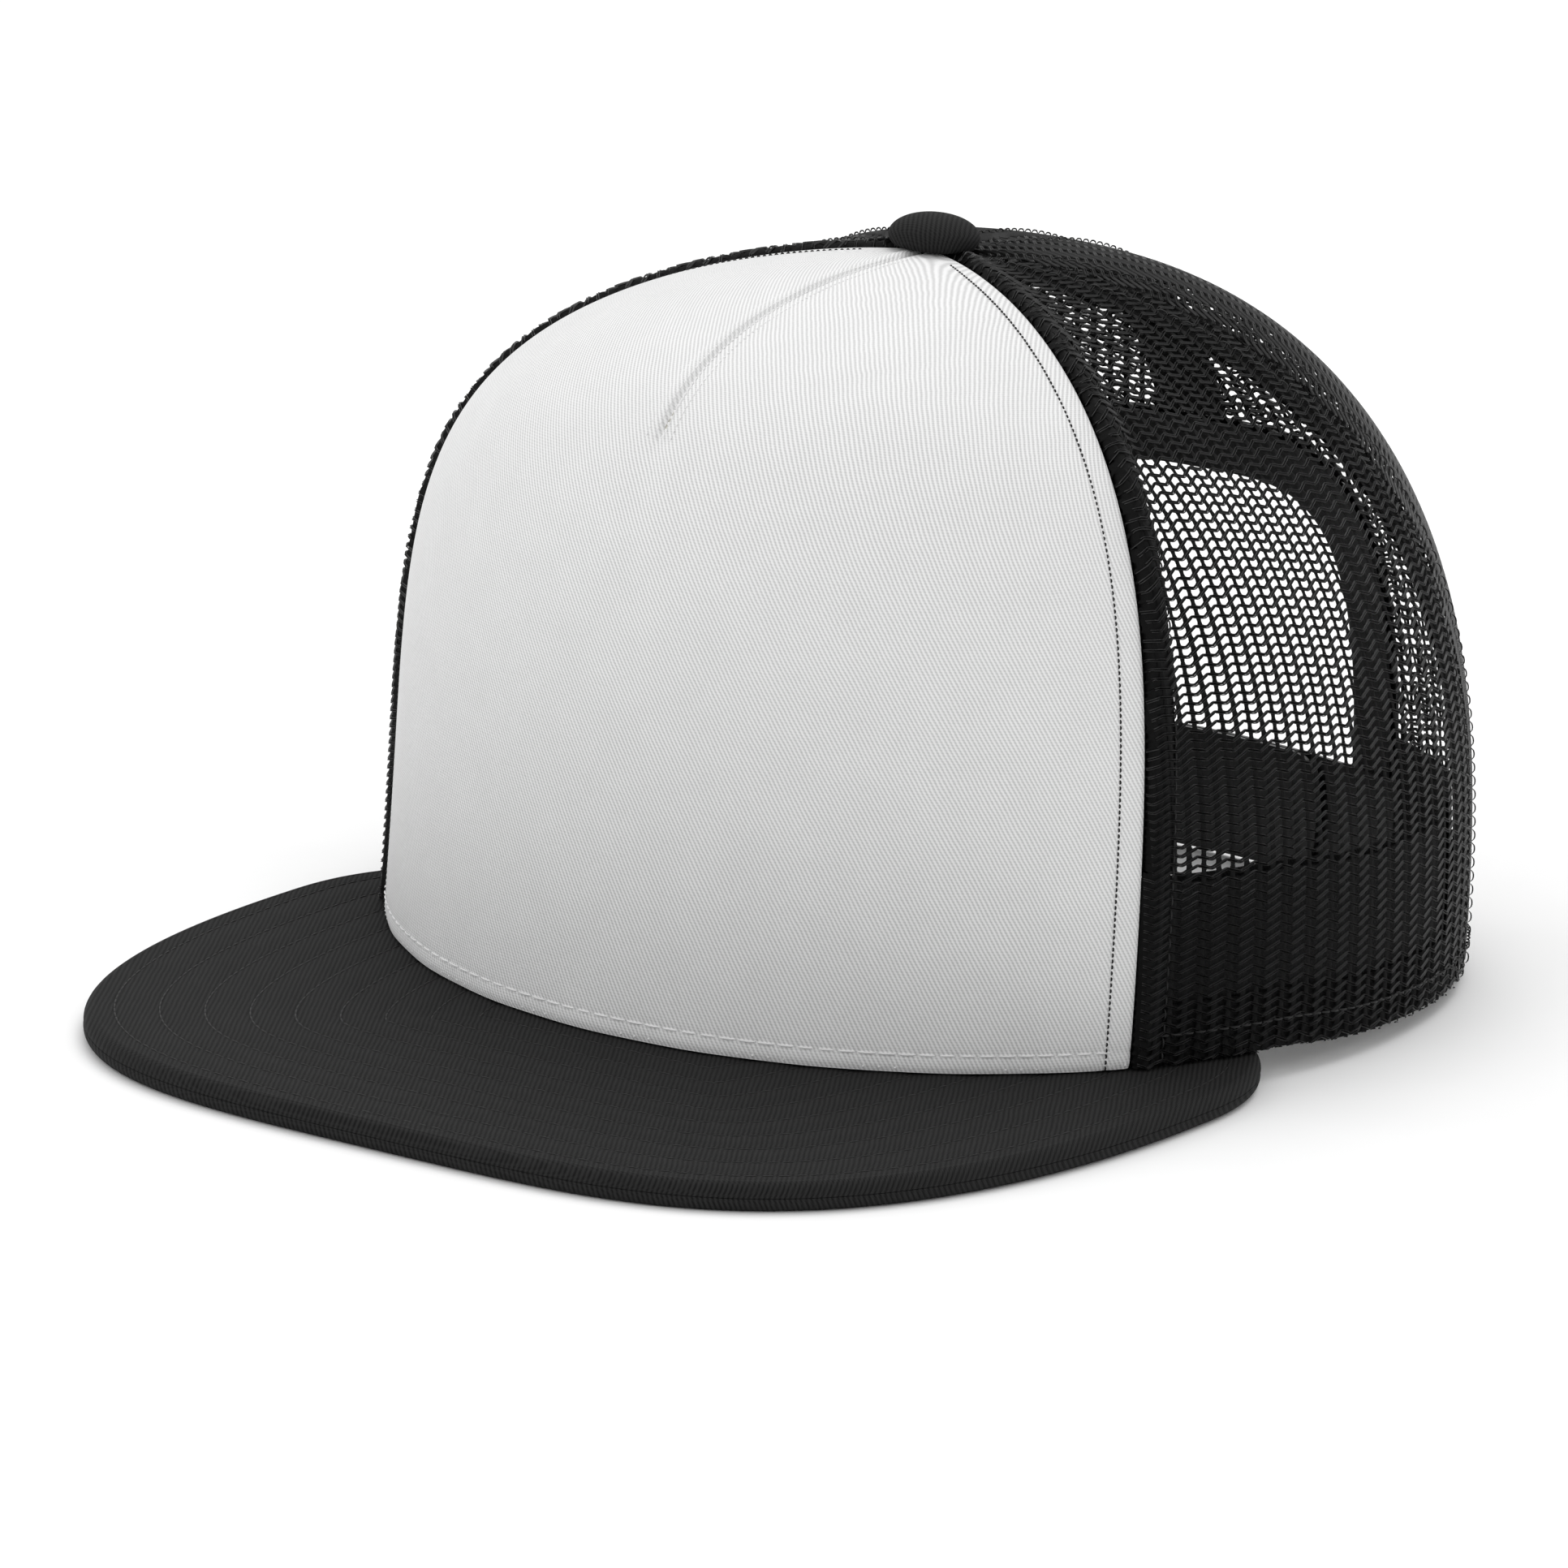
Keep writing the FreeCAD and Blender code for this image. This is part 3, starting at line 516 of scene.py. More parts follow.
@dataclass(frozen=True)
class MouldedPlastic:
    """Injection-moulded polyethylene with a fine spark-eroded grain.

    The eye sees an even colour, soft broad highlights and a faint pebbled grain, whose pebbles
    are a grain's width apart in millimetres.
    """

    name: str
    base: str
    grain: float
    relief: float
    roughness: float
    dullness: tuple[float, float] = (-0.06, 0.08)
    cloud_per_m: float = 90.0
    worn_gain: float = 1.5
    worn_lift: float = 0.004

    def material(self) -> bpy.types.Material:
        """Build the node material."""
        made, tree, shader = blank_material(self.name, {"IOR": 1.51})
        place = {"Vector": add_node(tree, "TexCoord").outputs["Object"]}
        pebble = add_node(tree, "TexVoronoi", {"Scale": 1 / (self.grain * MM)}, place)
        cloud = add_node(tree, "TexNoise", {"Scale": self.cloud_per_m, "Detail": 4.0}, place)
        low, high = (self.roughness + change for change in self.dullness)
        dull = add_node(tree, "MapRange", {"To Min": low, "To Max": high}, {"Value": cloud})
        fresh = linear(self.base)
        worn = [min(1.0, c * self.worn_gain + self.worn_lift) for c in fresh[:3]]
        colours = {"data_type": "RGBA", MIX_A: fresh, MIX_B: (*worn, 1.0)}
        tint = add_node(tree, "Mix", colours, {MIX_SHARE: cloud})
        raised = {"Strength": 1.0, "Distance": self.relief * MM}
        bump = add_node(tree, "Bump", raised, {"Height": pebble})
        colour = tint.outputs[MIX_RESULT]
        join(tree, shader, {"Base Color": colour, "Roughness": dull, "Normal": bump})
        return made


@dataclass(frozen=True)
class StampedSteel:
    """Cold-stamped, bright nickel-plated steel.

    The eye sees a grey metal with fine rolling scratches in a slightly blurred reflection.
    """

    name: str = "nickel_plated_steel"
    base: str = "#b9b8b4"
    polished: str = "#d8d6d0"
    roughness: float = 0.3
    dullness: tuple[float, float] = (-0.1, 0.15)
    scratches_per_m: tuple[float, float, float] = (300.0, 4000.0, 300.0)

    def material(self) -> bpy.types.Material:
        """Build the node material."""
        made, tree, shader = blank_material(self.name, {"Metallic": 1.0})
        place = {"Vector": add_node(tree, "TexCoord").outputs["Object"]}
        drawn = add_node(tree, "Mapping", {"Scale": self.scratches_per_m}, place)
        scratch = add_node(tree, "TexNoise", {"Scale": 1.0, "Detail": 3.0}, {"Vector": drawn})
        low, high = (self.roughness + change for change in self.dullness)
        dull = add_node(tree, "MapRange", {"To Min": low, "To Max": high}, {"Value": scratch})
        tint = add_node(tree, "Mix", blended(self.base, self.polished), {MIX_SHARE: scratch})
        join(tree, shader, {"Base Color": tint.outputs[MIX_RESULT], "Roughness": dull})
        return made


class Wardrobe:
    """All finishes of the cap, each made once."""

    def __init__(self) -> None:
        """Make every material."""
        # The second colour of each twill is painted shade for its furrows.
        self.front = TwillCloth(
            "white_cotton_twill", "#f0f0f0", "#c8c8c8", 0.66, 30.0, 0.46, 0.06, fleck=0.03
        ).material()
        self.visor = TwillCloth(
            "black_cotton_twill", "#282828", "#0f0f0f", 0.8, 28.0, 0.45, 0.08, sheen=0.0
        ).material()
        self.band = TwillCloth(
            "sweatband_cotton_twill", "#161616", "#0a0a0a", 0.6, 40.0, 0.35, 0.05, sheen=0.03
        ).material()
        self.tape = TwillCloth(
            "woven_seam_tape", "#131313", "#080808", 0.9, 45.0, 0.5, 0.06, sheen=0.03
        ).material()
        self.buckram = TwillCloth(
            "starched_buckram", "#dcdad2", "#a9a79f", 1.1, 0.0, 1.1, 0.12, sheen=0.0
        ).material()
        self.knit = Filament(
            "polyester_knit", "#040404", "#0a0a0a", 0.22, 0.03, 0.6, 0.1
        ).material()
        self.ridge = Filament(
            "polyester_ridge_yarn", "#0a0a0a", "#1c1c1c", 0.16, 0.02, 0.34, 0.5
        ).material()
        self.binding = Filament(
            "polyester_binding_tape", "#0a0a0a", "#151515", 0.35, 0.06, 0.6, 0.3
        ).material()
        self.black_thread = Filament(
            "black_polyester_thread", "#0c0c0c", "#1a1a1a", 0.12, 0.02, 0.55, 0.3
        ).material()
        self.white_thread = Filament(
            "white_polyester_thread", "#dedede", "#f4f4f4", 0.12, 0.02, 0.6
        ).material()
        self.strap = MouldedPlastic(
            "moulded_black_polyethylene", "#0b0b0b", 0.5, 0.02, 0.38
        ).material()
        self.board = MouldedPlastic("moulded_visor_board", "#d9d9d4", 0.8, 0.02, 0.5).material()
        self.foam = MouldedPlastic("open_cell_foam", "#101010", 0.6, 0.25, 0.9).material()
        self.steel = StampedSteel().material()


# ---- The crown's surface ----


@dataclass(frozen=True)
class CrownForm:
    """The crown's outer surface in the crown's own frame, with the rim plane at z = 0."""

    half_width: float = 88.0
    half_length: float = 96.0
    flare: float = 1.0
    back_power: float = 2.2
    height: float = 120.0
    pole_forward: float = 13.0
    rounding: tuple[float, float, float] = (2.2, 1.85, 3.2)
    rising: tuple[float, float, float] = (7.5, 3.0, 3.5)
    tilt: float = 1.8
    tilt_pivot: float = 60.0
    lift: float = 5.2
    setback: float = 33.6
    front_seam: float = 54.0
    seam_swing: float = 9.0
    side_seam: float = 121.0
    pole_hole: float = 3.2
    visor_line: float = 25.0
    visor_fade: float = 15.0
    visor_gap: float = 0.1
    largest_reach: float = 95.0
    newton_steps: int = 14
    settle_steps: int = 12

    def powers(self, azimuth: Array) -> tuple[Array, Array]:
        """How round and how steep the upright section is at an azimuth."""
        along = np.cos(np.radians(azimuth))
        made = []
        for front, side, back in (self.rounding, self.rising):
            end = np.where(along > 0, front, back)
            made.append(side + (end - side) * along**2)
        return made[0], made[1]

    def rim_radius(self, azimuth: Array) -> Array:
        """Distance from the crown's middle to the rim."""
        turn = np.radians(azimuth)
        power = np.where(np.cos(turn) > 0, 2.0, self.back_power)
        wide = np.abs(np.sin(turn) / self.half_width) ** power
        long = np.abs(np.cos(turn) / self.half_length) ** power
        return (wide + long) ** (-1 / power)

    def surface(self, azimuth: Array, climb: Array) -> Array:
        """Points of the outer surface; climb runs from 0 at the rim plane to 1 at the pole."""
        azimuth, climb = np.broadcast_arrays(np.asarray(azimuth, float), np.asarray(climb, float))
        angle = climb * math.pi / 2
        n, m = self.powers(azimuth)
        level = np.clip(np.cos(angle), 1e-9, None)
        upright = np.clip(np.sin(angle), 1e-9, None)
        reach = np.minimum(1 / level, 1 / upright)
        for _ in range(self.newton_steps):
            a, b = (reach * level) ** n, (reach * upright) ** m
            reach = reach - (a + b - 1) * reach / (n * a + m * b)
        out = np.where(climb <= 0, 1.0, reach * level)
        share = np.where(climb <= 0, angle, reach * upright)
        up = np.maximum(share, 0)
        fade = np.sqrt(np.maximum(0, 1 - up**m))
        radius = self.rim_radius(azimuth) * out + self.flare * (1 - up) ** 2 * fade
        turn = np.radians(azimuth)
        return np.stack(
            [
                radius * np.sin(turn), -radius * np.cos(turn) - self.pole_forward * up**2,
                self.height * share,
            ],
            -1,
        )

    def tangents(self, azimuth: Array, climb: Array) -> tuple[Array, Array]:
        """Change of the surface point with azimuth, in degrees, and with climb."""
        turn, rise = 0.05, 0.0005
        across = self.surface(azimuth + turn, climb) - self.surface(azimuth - turn, climb)
        upward = self.surface(azimuth, climb + rise) - self.surface(azimuth, climb - rise)
        return across / (2 * turn), upward / (2 * rise)

    def inward(self, azimuth: Array, climb: Array) -> Array:
        """Unit normal into the crown."""
        across, upward = self.tangents(azimuth, climb)
        return unit(np.cross(upward, across))

    def point(self, azimuth: Array, climb: Array, depth: Array | float = 0.0) -> Array:
        """Points at a depth inside the surface, measured square to it."""
        depth = np.asarray(depth, float)[..., None]
        return self.surface(azimuth, climb) + self.inward(azimuth, climb) * depth

    def climb_at(self, azimuth: Array, height: Array | float) -> Array:
        """The climb where the section at an azimuth reaches a height."""
        n, m = self.powers(azimuth)
        share = np.clip(np.asarray(height, float) / self.height, None, 0.99999)
        up = np.maximum(share, 0)
        risen = np.arctan2(up, (1 - up**m) ** (1 / n)) * 2 / math.pi
        return np.where(share <= 0, share * 2 / math.pi, risen)

    def near_pole(self, azimuth: Array, radius: float) -> Array:
        """The climb where the crown has closed in to a small radius about the pole."""
        return np.arccos(radius / self.rim_radius(azimuth)) * 2 / math.pi

    def rim_height(self, azimuth: Array) -> Array:
        """Lower edge of the crown: on the visor in front, the rim plane behind it."""
        y = self.surface(azimuth, 0.0)[..., 1]
        slope = math.tan(math.radians(self.tilt))
        front = slope * (np.minimum(y, -self.visor_line) + self.tilt_pivot) - self.visor_gap
        return front * bell(np.maximum(y + self.visor_line, 0), self.visor_fade)

    def above_rim(self, height: float) -> Edge:
        """An edge at a height above the rim."""
        return lambda azimuth: self.climb_at(azimuth, self.rim_height(azimuth) + height)

    def to_pole(self, radius: float) -> Edge:
        """An edge on a small circle about the pole."""
        return lambda azimuth: self.near_pole(azimuth, radius)

    def front_seam_at(self, climb: Array) -> Array:
        """Azimuth of the seam between the front and a side panel."""
        return self.front_seam + self.seam_swing * np.maximum(climb, 0) ** 3

    def reach_at(self, azimuth: Array, climb: Array) -> Array:
        """Horizontal distance from the pole's axis."""
        point = self.surface(azimuth, climb)
        up = np.maximum(point[..., 2], 0) / self.height
        return np.hypot(point[..., 0], point[..., 1] + self.pole_forward * up**2)

    def shifted(self, seam: Edge, sign: int, width: float, soften: float = 0.0) -> Edge:
        """A line beside a seam, at a width from it, on the side that the sign of X names.

        Args:
            seam: azimuth of the seam at a climb, on the left.
            sign: 1 for the left of the cap, -1 for the right.
            width: distance from the seam, positive towards the back.
            soften: reach below which the line draws in towards the seam.

        Returns:
            The line's azimuth at a climb.
        """

        def line(climb: Array) -> Array:
            """Azimuth of the line."""
            azimuth = seam(climb)
            reach = np.hypot(self.reach_at(azimuth, climb), soften)
            return sign * (azimuth + np.degrees(width / reach))

        return line

    def behind(self, x: Array, z: Array) -> tuple[Array, Array]:
        """Azimuth and climb of the rear wall's point that has a given x and z."""
        azimuth = 180.0 - np.degrees(np.arcsin(np.clip(x / self.largest_reach, -1, 1)))
        for _ in range(self.settle_steps):
            climb = self.climb_at(azimuth, z)
            reach = self.reach_at(azimuth, climb)
            azimuth = 180.0 - np.degrees(np.arcsin(np.clip(x / reach, -1, 1)))
        return azimuth, climb

    def placed(self, points: Array) -> Array:
        """Points of the crown's frame in the row's frame."""
        cos, sin = math.cos(math.radians(self.tilt)), math.sin(math.radians(self.tilt))
        back, up = points[..., 1] + self.tilt_pivot, points[..., 2]
        return np.stack(
            [
                points[..., 0], self.setback - self.tilt_pivot + back * cos + up * sin,
                self.lift - back * sin + up * cos,
            ],
            -1,
        )

    def grid(
        self, left: Edge, right: Edge, low: Edge, high: Edge, across: Array, upward: Array
    ) -> tuple[Array, Array]:
        """Azimuths and climbs of a grid between four edges.

        Args:
            left: azimuth of one side edge at a climb.
            right: azimuth of the other side edge at a climb.
            low: climb of the lower edge at an azimuth.
            high: climb of the upper edge at an azimuth.
            across: shares of the way from left to right.
            upward: shares of the way from low to high.

        Returns:
            Two arrays with a row for each share across.
        """
        middle = np.array(0.3)
        start, finish = left(middle), right(middle)
        guess = (start + (finish - start) * across)[:, None]
        climb = low(guess) + (high(guess) - low(guess)) * upward[None, :]
        azimuth = left(climb) + (right(climb) - left(climb)) * across[:, None]
        return azimuth, climb

    def flat_lengths(self, azimuth: Array, climb: Array) -> Array:
        """Lengths along the grid's lines, as the place of each point on the flat cloth."""
        points = self.surface(azimuth, climb)
        steps = np.linalg.norm(np.diff(points, axis=0), axis=-1)
        u = np.concatenate([np.zeros((1, steps.shape[1])), np.cumsum(steps, 0)])
        u -= u[-1:] / 2
        rises = np.linalg.norm(np.diff(points, axis=1), axis=-1)
        v = np.concatenate([np.zeros((rises.shape[0], 1)), np.cumsum(rises, 1)], axis=1)
        return np.stack([u, v], -1)

    def layer(
        self, azimuth: Array, climb: Array, depth: float, thickness: float,
        relief: Array | float = 0.0,
    ) -> Patch:
        """A layer of cloth over a grid.

        Args:
            azimuth: the grid's azimuths.
            climb: the grid's climbs.
            depth: how far its outer face lies under the crown's surface.
            thickness: the cloth's thickness.
            relief: extra depth of the outer face, point by point.

        Returns:
            A closed patch in the row's frame.
        """
        base, normal = self.surface(azimuth, climb), self.inward(azimuth, climb)
        sunk = np.broadcast_to(np.asarray(relief, float), azimuth.shape)[..., None]
        outer = base + normal * (depth + sunk)
        inner = base + normal * (depth + thickness + sunk * 0.6)
        return closed_layer(
            self.placed(outer), self.placed(inner), self.flat_lengths(azimuth, climb)
        )


FORM = CrownForm()
# The rear arch: its half width and height, and the height where the centre back seam begins.
ARCH_HALF_WIDTH, ARCH_HEIGHT, ARCH_CLEAR = 33.0, 71.0, 82.0


def meridian(azimuth: float) -> Edge:
    """An edge that keeps one azimuth all the way up."""
    return lambda climb: azimuth + 0.0 * climb


def even(count: int) -> Array:
    """Evenly spaced shares from 0 to 1."""
    return np.linspace(0, 1, count)


def packed(count: int, places: list[tuple[float, float]], strength: float = 6.0) -> Array:
    """Shares from 0 to 1 that crowd together about some places.

    Args:
        count: number of shares.
        places: (share, width) of each crowded place.
        strength: how many times closer they stand there.

    Returns:
        Rising shares from 0 to 1.
    """
    fine = np.linspace(0, 1, 4001)
    density = np.ones_like(fine)
    for middle, width in places:
        density += strength * bell(fine - middle, width)
    total = np.concatenate([[0], np.cumsum((density[1:] + density[:-1]) / 2)])
    return np.interp(np.linspace(0, total[-1], count), total, fine)


# ---- Stitches ----


@dataclass(frozen=True)
class StitchRow:
    """A row of lockstitches: threads that rise from one needle hole and dive into the next."""

    pitch: float
    length: float
    width: float
    rise: float

    def build(self, path: Array, outward: Array) -> Patch:
        """Lay the stitches along a path.

        Args:
            path: points of the seam line, in millimetres.
            outward: unit normals of the cloth at those points.

        Returns:
            A patch of closed threads.
        """
        along = run_length(path)
        count = max(1, int((along[-1] - self.length) // self.pitch) + 1)
        share = np.linspace(0, 1, 6)
        place = np.arange(count)[:, None] * self.pitch + share[None, :] * self.length
        line, up = (
            np.stack([np.interp(place, along, values[:, k]) for k in range(3)], -1)
            for values in (path, outward)
        )
        up = unit(up)
        aside = np.cross(up, unit(np.gradient(line, axis=1)))
        arch = np.sin(share * math.pi)
        height = (arch**0.5 * self.rise - self.width * 0.3)[None, :, None]
        thick = (0.62 + 0.38 * arch**0.5)[None, :, None]
        turns = np.arange(6) * math.pi / 3
        rings = [
            line
            + up * (height + 0.42 * self.width * thick * math.sin(turn))
            + aside * (0.5 * self.width * thick * math.cos(turn))
            for turn in turns
        ]
        points = np.stack(rings, 2)
        stations, sides = points.shape[1:3]
        number = np.arange(stations * sides).reshape(stations, sides)
        a, b = number[:-1], number[1:]
        tube = np.stack([a, np.roll(a, -1, 1), np.roll(b, -1, 1), b], -1).reshape(-1, 4)
        ends = np.stack([number[0, ::-1], number[-1]])
        shift = (np.arange(count) * stations * sides)[:, None, None]
        return Patch(
            points.reshape(-1, 3),
            [(tube[None] + shift).reshape(-1, 4), (ends[None] + shift).reshape(-1, sides)],
            np.zeros((points.size // 3, 2)),
        )

    def on_crown(self, azimuth: Array, climb: Array, depth: float = 0.0) -> Patch:
        """Lay the stitches along a line of the crown, on its outside or, at a depth, its inside."""
        path = FORM.placed(FORM.point(azimuth, climb, depth))
        tip = FORM.placed(FORM.point(azimuth, climb, depth - 1.0))
        outward = tip - path
        return self.build(path, outward if depth <= 1.0 else -outward)


SEAM_STITCH = StitchRow(pitch=1.0, length=0.72, width=0.34, rise=0.26)
# The climb where rows of stitches that run up to the button end.
STITCH_TOP = 0.93


# ---- Front panel ----


@dataclass
class FrontPanel:
    """The stiff white front with its dart, stiffener and stitching."""

    thickness: float = 0.8
    dart_length: float = 22.0
    dart_groove: Hump = Hump(0.8, 0.0, 0.5)
    dart_puff: Hump = Hump(-0.34, -1.5, 0.9)
    dart_fade: float = 3.0
    pucker_width: float = 5.0
    pucker_height: Hump = Hump(1.0, -2.0, 7.0)
    dimple: float = 0.45
    dimple_turn: float = 0.55
    seam_fold: Hump = Hump(0.35, 0.0, 0.5)
    stitch_inset: float = 4.7
    seam_row: Hump = Hump(0.12, 4.7, 0.45)
    rim_fold: Hump = Hump(0.35, 0.0, 0.6)
    rim_stitch_height: float = 3.0
    rim_row: Hump = Hump(0.12, 3.0, 0.5)
    rim_wave: Hump = Hump(0.10, 0.0, 6.0)
    rim_wave_length: float = 3.3
    rim_stitch_end: float = 53.6
    buckram_depth: float = 0.92
    buckram_thickness: float = 0.6
    buckram_turn_in: float = 6.0

    def relief(self, azimuth: Array, climb: Array) -> Array:
        """Depth of the dart, the turned edges and the puckers, point by point."""
        points = FORM.surface(azimuth, climb)
        aside = FORM.reach_at(azimuth, climb) * np.radians(azimuth)
        above = points[..., 2] - (FORM.height - self.dart_length)
        inside = np.clip((above + 1.0) / self.dart_fade, 0, 1)
        groove = self.dart_groove.at(aside) * inside
        puff = self.dart_puff.at(aside) * inside
        pucker = bell(aside, self.pucker_width) * self.pucker_height.at(above)
        dimple = self.dimple * pucker * np.cos(aside * self.dimple_turn)
        seam = FORM.front_seam_at(climb)
        edge = np.radians(seam - np.abs(azimuth)) * FORM.reach_at(azimuth, climb)
        turned_in, row = self.seam_fold.at(edge), self.seam_row.at(edge)
        low = points[..., 2] - FORM.rim_height(azimuth)
        folded, sewn = self.rim_fold.at(low), self.rim_row.at(low)
        wave = self.rim_wave.at(low) * np.sin(aside / self.rim_wave_length)
        return groove + puff + dimple + turned_in + row + folded + sewn + wave

    def seam_stitches(self) -> Patch:
        """The black topstitching beside both front seams."""
        climbs = np.linspace(float(FORM.climb_at(FORM.front_seam, 0.0)), 0.92, 400)
        rows = []
        for side in Side:
            line = FORM.shifted(FORM.front_seam_at, side.value, -self.stitch_inset, 12.0)
            rows.append(SEAM_STITCH.on_crown(line(climbs), climbs, 0.08))
        return Patch.joined(rows)

    def white_stitches(self) -> Patch:
        """The rim's stitches and tacks, and the pricks on both sides of the dart."""
        end = self.rim_stitch_end
        rim = np.linspace(-end, end, 400)
        run = StitchRow(pitch=3.3, length=2.9, width=0.34, rise=0.24)
        tack = StitchRow(pitch=2.6, length=0.5, width=0.3, rise=0.2)
        prick = StitchRow(pitch=1.25, length=0.55, width=0.3, rise=0.16)
        rows = [
            run.on_crown(rim, FORM.above_rim(self.rim_stitch_height)(rim), 0.08),
            tack.on_crown(rim, FORM.above_rim(0.7)(rim), 0.25),
        ]
        foot = float(FORM.climb_at(0.0, FORM.height - self.dart_length))
        climbs = np.linspace(foot, STITCH_TOP, 300)
        for sign in (-1, 1):
            for offset in (0.75, 2.3):
                line = FORM.shifted(meridian(0.0), sign, offset, 6.0)
                rows.append(prick.on_crown(line(climbs), climbs, -0.02))
        return Patch.joined(rows)

    def build_cloth(self, wardrobe: Wardrobe) -> None:
        """The white twill and its stitches."""
        seam = FORM.front_seam_at
        across = packed(181, [(0.5, 0.02), (0.0, 0.01), (1.0, 0.01)])
        upward = packed(171, [(0.0, 0.03), (0.62, 0.06)], 2.0)
        azimuth, climb = FORM.grid(
            FORM.shifted(seam, -1, -0.1), FORM.shifted(seam, 1, -0.1), FORM.above_rim(0.0),
            FORM.to_pole(FORM.pole_hole), across, upward,
        )
        patch = FORM.layer(azimuth, climb, 0.0, self.thickness, self.relief(azimuth, climb))
        cloth = crown_piece(
            "front_panel_twill", patch, wardrobe.front, Slot.FRONT_TWILL, "front_panel"
        )
        threads = [
            crown_piece(
                "front_panel_black_stitches", self.seam_stitches(), wardrobe.black_thread, Slot.TAPE
            ),
            crown_piece(
                "front_panel_white_stitches", self.white_stitches(), wardrobe.white_thread,
                Slot.FRONT_TWILL,
            ),
        ]

    def build_stiffener(self, wardrobe: Wardrobe) -> None:
        """The starched open-weave cloth behind the front."""
        seam, turn_in = FORM.front_seam_at, self.buckram_turn_in
        azimuth, climb = FORM.grid(
            FORM.shifted(seam, -1, -turn_in, 3 * turn_in),
            FORM.shifted(seam, 1, -turn_in, 3 * turn_in), FORM.above_rim(0.0),
            FORM.to_pole(FORM.pole_hole + 0.3), even(61), even(61),
        )
        patch = FORM.layer(azimuth, climb, self.buckram_depth, self.buckram_thickness)
        made = crown_piece(
            "front_buckram_stiffener", patch, wardrobe.buckram, Slot.BUCKRAM, "front_buckram"
        )

    def build(self, wardrobe: Wardrobe) -> None:
        """Build every piece of the front."""
        self.build_stiffener(wardrobe)
        self.build_cloth(wardrobe)


# ---- Knitted mesh ----


class FabricMap:
    """Lays flat cloth on the crown: u runs across and v up the panel's middle, in millimetres.

    Each row of the cloth follows the section of the crown that stands square to the panel's
    middle line, so that rows keep their spacing there and bend as a knitted panel's rows do.
    """

    step: float = 2.0
    reach: int = 44

    def __init__(self, middle: float) -> None:
        """March every row out from the middle line.

        Args:
            middle: azimuth of the panel's middle line.
        """
        climbs = np.linspace(-0.03, 0.9995, 900)
        line = FORM.surface(middle, climbs)
        along = run_length(line)
        along -= np.interp(0.0, climbs, along)
        self.rows = np.arange(-6.0, along[-1], self.step)
        start = np.interp(self.rows, along, climbs)
        _, upward = FORM.tangents(np.full_like(start, middle), start)
        upward = unit(upward)
        halves = []
        for sign in (-1, 1):
            azimuth, climb = np.full_like(start, middle), start.copy()
            halves.append([(azimuth, climb)])
            for _ in range(self.reach):
                turn, rise = self.slope(azimuth, climb, upward)
                mid = sign * self.step / 2
                turn, rise = self.slope(azimuth + turn * mid, climb + rise * mid, upward)
                azimuth = np.clip(azimuth + sign * self.step * turn, middle - 80, middle + 80)
                climb = np.clip(climb + sign * self.step * rise, -0.05, 0.9995)
                halves[-1].append((azimuth, climb))
        both = halves[0][:0:-1] + halves[1]
        self.azimuth = np.stack([pair[0] for pair in both])
        self.climb = np.stack([pair[1] for pair in both])

    @staticmethod
    def slope(azimuth: Array, climb: Array, upward: Array) -> tuple[Array, Array]:
        """Change of azimuth and climb with each millimetre of a row."""
        across, rising = FORM.tangents(azimuth, climb)
        normal = np.cross(across, rising)
        ahead = unit(np.cross(upward, normal))
        aa, ar, rr = (across**2).sum(-1), (across * rising).sum(-1), (rising**2).sum(-1)
        da, dr = (across * ahead).sum(-1), (rising * ahead).sum(-1)
        whole = aa * rr - ar**2 + 1e-9
        return (da * rr - dr * ar) / whole, (dr * aa - da * ar) / whole

    def locate(self, u: Array, v: Array) -> tuple[Array, Array]:
        """Azimuth and climb of places on the flat cloth."""
        column = np.clip(u / self.step + self.reach, 0, 2 * self.reach - 0.001)
        row = np.clip((v - self.rows[0]) / self.step, 0, len(self.rows) - 1.001)
        i, j = column.astype(int), row.astype(int)
        s, t = column - i, row - j
        found = []
        for table in (self.azimuth, self.climb):
            low = table[i, j] * (1 - s) + table[i + 1, j] * s
            high = table[i, j + 1] * (1 - s) + table[i + 1, j + 1] * s
            found.append(low * (1 - t) + high * t)
        return found[0], found[1]


@dataclass(frozen=True)
class PanelCut:
    """The outline that a mesh panel is cut to."""

    left: Edge
    right: Edge
    low: Edge
    high: Edge
    arch: bool = False
    leg_share: float = 0.25

    def trim(self, azimuth: Array, climb: Array) -> tuple[Array, Array, Array]:
        """Bring points that lie outside the outline onto it.

        Args:
            azimuth: the points' azimuths.
            climb: the points' climbs.

        Returns:
            The new azimuths and climbs, and which points lay outside.
        """
        low, high = self.low(azimuth), self.high(azimuth)
        left, right = self.left(climb), self.right(climb)
        outside = (climb < low) | (climb > high) | (azimuth < left) | (azimuth > right)
        climb = np.clip(climb, low, high)
        azimuth = np.clip(azimuth, self.left(climb), self.right(climb))
        if not self.arch:
            return azimuth, climb, outside
        points = FORM.surface(azimuth, climb)
        x, z = points[..., 0] / ARCH_HALF_WIDTH, points[..., 2] / ARCH_HEIGHT
        size = (x**4 + np.maximum(z, 0) ** 4) ** 0.25
        within = (size < 1) & (points[..., 1] > 0)
        grow = 1 / np.maximum(size, 0.2)
        on_leg = z < self.leg_share
        new_x = np.where(on_leg, np.sign(x), x * grow) * ARCH_HALF_WIDTH
        new_z = np.where(on_leg, points[..., 2], z * grow * ARCH_HEIGHT)
        arch_azimuth, arch_climb = FORM.behind(new_x, new_z)
        azimuth = np.where(within, np.where(azimuth < 0, arch_azimuth - 360, arch_azimuth), azimuth)
        climb = np.where(within, arch_climb, climb)
        return azimuth, climb, outside | within


